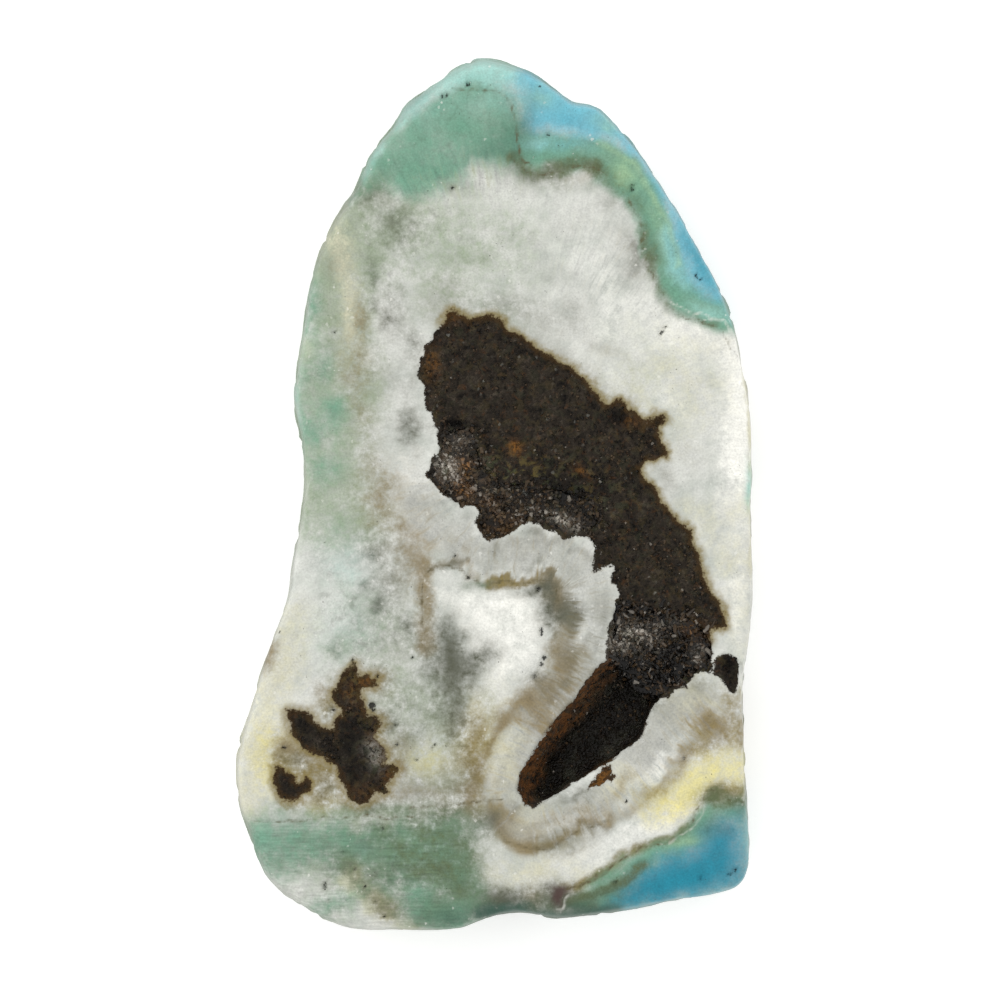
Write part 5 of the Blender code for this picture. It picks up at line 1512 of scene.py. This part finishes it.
class StoneColours(bpy.types.PropertyGroup):
    """Colours of the stone and of its crystals"""
    __annotations__ = {key: colour_setting(*PALETTE[key]) for key in PALETTE}


class StoneSizes(bpy.types.PropertyGroup):
    """Sizes of the slab's skin and of the crystals"""
    cell: length_setting("Skin cell", "Width of the skin's faces on the sides; half of it on the face", 0.37)
    relief: FloatProperty(name="Relief", description="Depth of the fine relief, 1 as on the stone", default=1.0)
    dark_crystals: IntProperty(name="Dark crystals", description="Crystals in the junction's crust", default=1900)
    brown_crystals: IntProperty(name="Brown crystals", description="Crystals in the ledge's crust", default=1500)
    grains: IntProperty(name="Grains", description="Sugary grains over the matrix", default=2600)


class StageSettings(bpy.types.PropertyGroup):
    """Floor, light and camera"""
    floor_colour: colour_setting("Floor", "Colour of the floor", (240, 240, 240))
    glow: FloatProperty(name="Floor glow", description="Light of the floor itself, which thins its shadows",
                        default=0.42)
    sky: FloatProperty(name="Sky light", description="Strength of the light from all round", default=0.92)
    key: FloatProperty(name="Key light", description="Power of the large lamp at the upper left", unit="POWER",
                       default=2.2)
    distance: length_setting("Camera distance", "From the face to the camera", 1200.0)


class MINERAL_OT_slab(bpy.types.Operator):
    """Make the banded slab with its sunken matrix, vug, seams and pits"""
    bl_idname = "mineral.slab"
    bl_label = "Hemimorphite slab"

    def execute(self, context):
        mesh = slab_mesh(context.scene.stone_sizes)
        bm = bmesh.new()
        bm.from_mesh(mesh)
        bpy.data.meshes.remove(mesh)
        finished("banded_slab", bm, stone_material(context.scene.stone_colours), SLAB)
        return {"FINISHED"}


class MINERAL_OT_druse(bpy.types.Operator):
    """Make the crystal crusts of the junction and of the ledge"""
    bl_idname = "mineral.druse"
    bl_label = "Druse crusts"

    def execute(self, context):
        sizes, colours = context.scene.stone_sizes, context.scene.stone_colours
        dark = druse_material("Dark druse", colours, 0.5, 0.3, 0.12)
        brown = druse_material("Brown druse", colours, 0.0, 0.45, 0.06)
        crust_piece("junction_crystals", "junction_druse", dark, JUNCTION, sizes.dark_crystals,
                    (0.05, 0.2), (1.8, 4.0), 0.9, (0.0, 0.9), 5)
        crust_piece("ledge_crystals", "ledge_druse", brown, LEDGE, sizes.brown_crystals,
                    (0.05, 0.2), (1.2, 2.8), 0.9, (0.1, 0.8), 6)
        return {"FINISHED"}


class MINERAL_OT_grains(bpy.types.Operator):
    """Make the sugary grains over the matrix and in the vug"""
    bl_idname = "mineral.grains"
    bl_label = "Matrix grains"

    def execute(self, context):
        sizes, colours = context.scene.stone_sizes, context.scene.stone_colours
        draw = np.random.default_rng(7)
        slab = bpy.data.objects["banded_slab"].data

        def weigh(at):
            depth = np.max([depth_inside(at[:, :2], np.array(loop))[0] for loop in MATRIX_PATCHES], axis=0)
            return (depth > 0.25) * (at[:, 2] > FACE_Z - HOLLOW_FLOOR) * np.clip(0.9 + cloud(at, 2.0, 41), 0.1, None)

        places, normals = scatter(slab, sizes.grains, weigh, draw)
        bm = bmesh.new()
        tones = crystal_tones(places, 0.0, 0.5, draw)
        crystals(bm, places, normals, (0.05, 0.14), (1.0, 2.0), 0.55, tones, draw, sides=5)
        material = druse_material("Matrix grains", colours, 0.0, 0.5, 0.03)
        mineral_tints(finished("matrix_grains", bm, material, SLAB))
        return {"FINISHED"}


class MINERAL_OT_stage(bpy.types.Operator):
    """Make the floor, the light and the camera"""
    bl_idname = "mineral.stage"
    bl_label = "Stage"

    def execute(self, context):
        settings = context.scene.stage_settings
        bm = bmesh.new()
        bmesh.ops.create_grid(bm, x_segments=1, y_segments=1, size=4.0,
                              matrix=Matrix.Translation((0.0, 0.0, -FLOOR_GAP * MM)))
        mesh = bpy.data.meshes.new("floor")
        bm.to_mesh(mesh)
        bm.free()
        floor = bpy.data.objects.new("floor", mesh)
        context.collection.objects.link(floor)
        material, tree, places = new_material("Pale floor")
        tint = tree.step(tree.noise(places, 60.0), 0.0, 1.0, 0.99, 1.0)
        colour = tree.mix(1.0, full(settings.floor_colour), tint, "MULTIPLY")
        close_material(tree, colour, 0.9, 0.0, Specular_IOR_Level=0.1, Emission_Color=(1.0, 1.0, 1.0, 1.0),
                       Emission_Strength=settings.glow)
        mesh.materials.append(material)
        world = bpy.data.worlds.new("soft light")
        world.use_nodes = True
        world.node_tree.nodes["Background"].inputs["Color"].default_value = (1.0, 1.0, 1.0, 1.0)
        world.node_tree.nodes["Background"].inputs["Strength"].default_value = settings.sky
        context.scene.world = world
        lamp = bpy.data.lights.new("key", "AREA")
        lamp.energy = settings.key
        lamp.size = 0.5
        key = bpy.data.objects.new("key", lamp)
        key.matrix_world = Matrix.Translation(KEY_PLACE) @ Vector(KEY_PLACE).to_track_quat("Z", "Y").to_matrix().to_4x4()
        key.visible_camera = False
        context.collection.objects.link(key)
        lens = bpy.data.cameras.new("camera")
        lens.lens = lens.sensor_width * settings.distance / (FRAME_WIDTH * MM)
        lens.clip_start, lens.clip_end = 0.01, 100.0
        camera = bpy.data.objects.new("camera", lens)
        camera.location = (FRAME_CENTRE[0] * MM, FRAME_CENTRE[1] * MM, FACE_Z * MM + settings.distance)
        context.collection.objects.link(camera)
        context.scene.camera = camera
        context.scene.view_settings.view_transform = "Standard"
        return {"FINISHED"}


FLOOR_GAP = 0.03
KEY_PLACE = (-0.55, 0.6, 0.7)


class MINERAL_PT_panel(bpy.types.Panel):
    """Lists the steps and the settings"""
    bl_label = "Rough hemimorphite"
    bl_space_type = "VIEW_3D"
    bl_region_type = "UI"
    bl_category = "Mineral"

    def draw(self, context):
        for operator in OPERATORS:
            self.layout.operator(operator.bl_idname)
        for name in SETTINGS:
            box = self.layout.box()
            for key in SETTINGS[name].__annotations__:
                box.prop(getattr(context.scene, name), key)


OPERATORS = [MINERAL_OT_slab, MINERAL_OT_druse, MINERAL_OT_grains, MINERAL_OT_stage]
SETTINGS = {"stone_sizes": StoneSizes, "stone_colours": StoneColours, "stage_settings": StageSettings}


def register():
    for made in (*SETTINGS.values(), *OPERATORS, MINERAL_PT_panel):
        bpy.utils.register_class(made)
    for name, group in SETTINGS.items():
        setattr(bpy.types.Scene, name, PointerProperty(type=group))


def unregister():
    for name in SETTINGS:
        delattr(bpy.types.Scene, name)
    for made in (MINERAL_PT_panel, *reversed(OPERATORS), *SETTINGS.values()):
        bpy.utils.unregister_class(made)


def main():
    register()
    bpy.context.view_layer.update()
    zone_layer_group()
    crystal_grain_group()
    bpy.ops.mineral.slab()
    bpy.ops.mineral.druse()
    bpy.ops.mineral.grains()
    bpy.ops.mineral.stage()


if __name__ == "__main__":
    main()
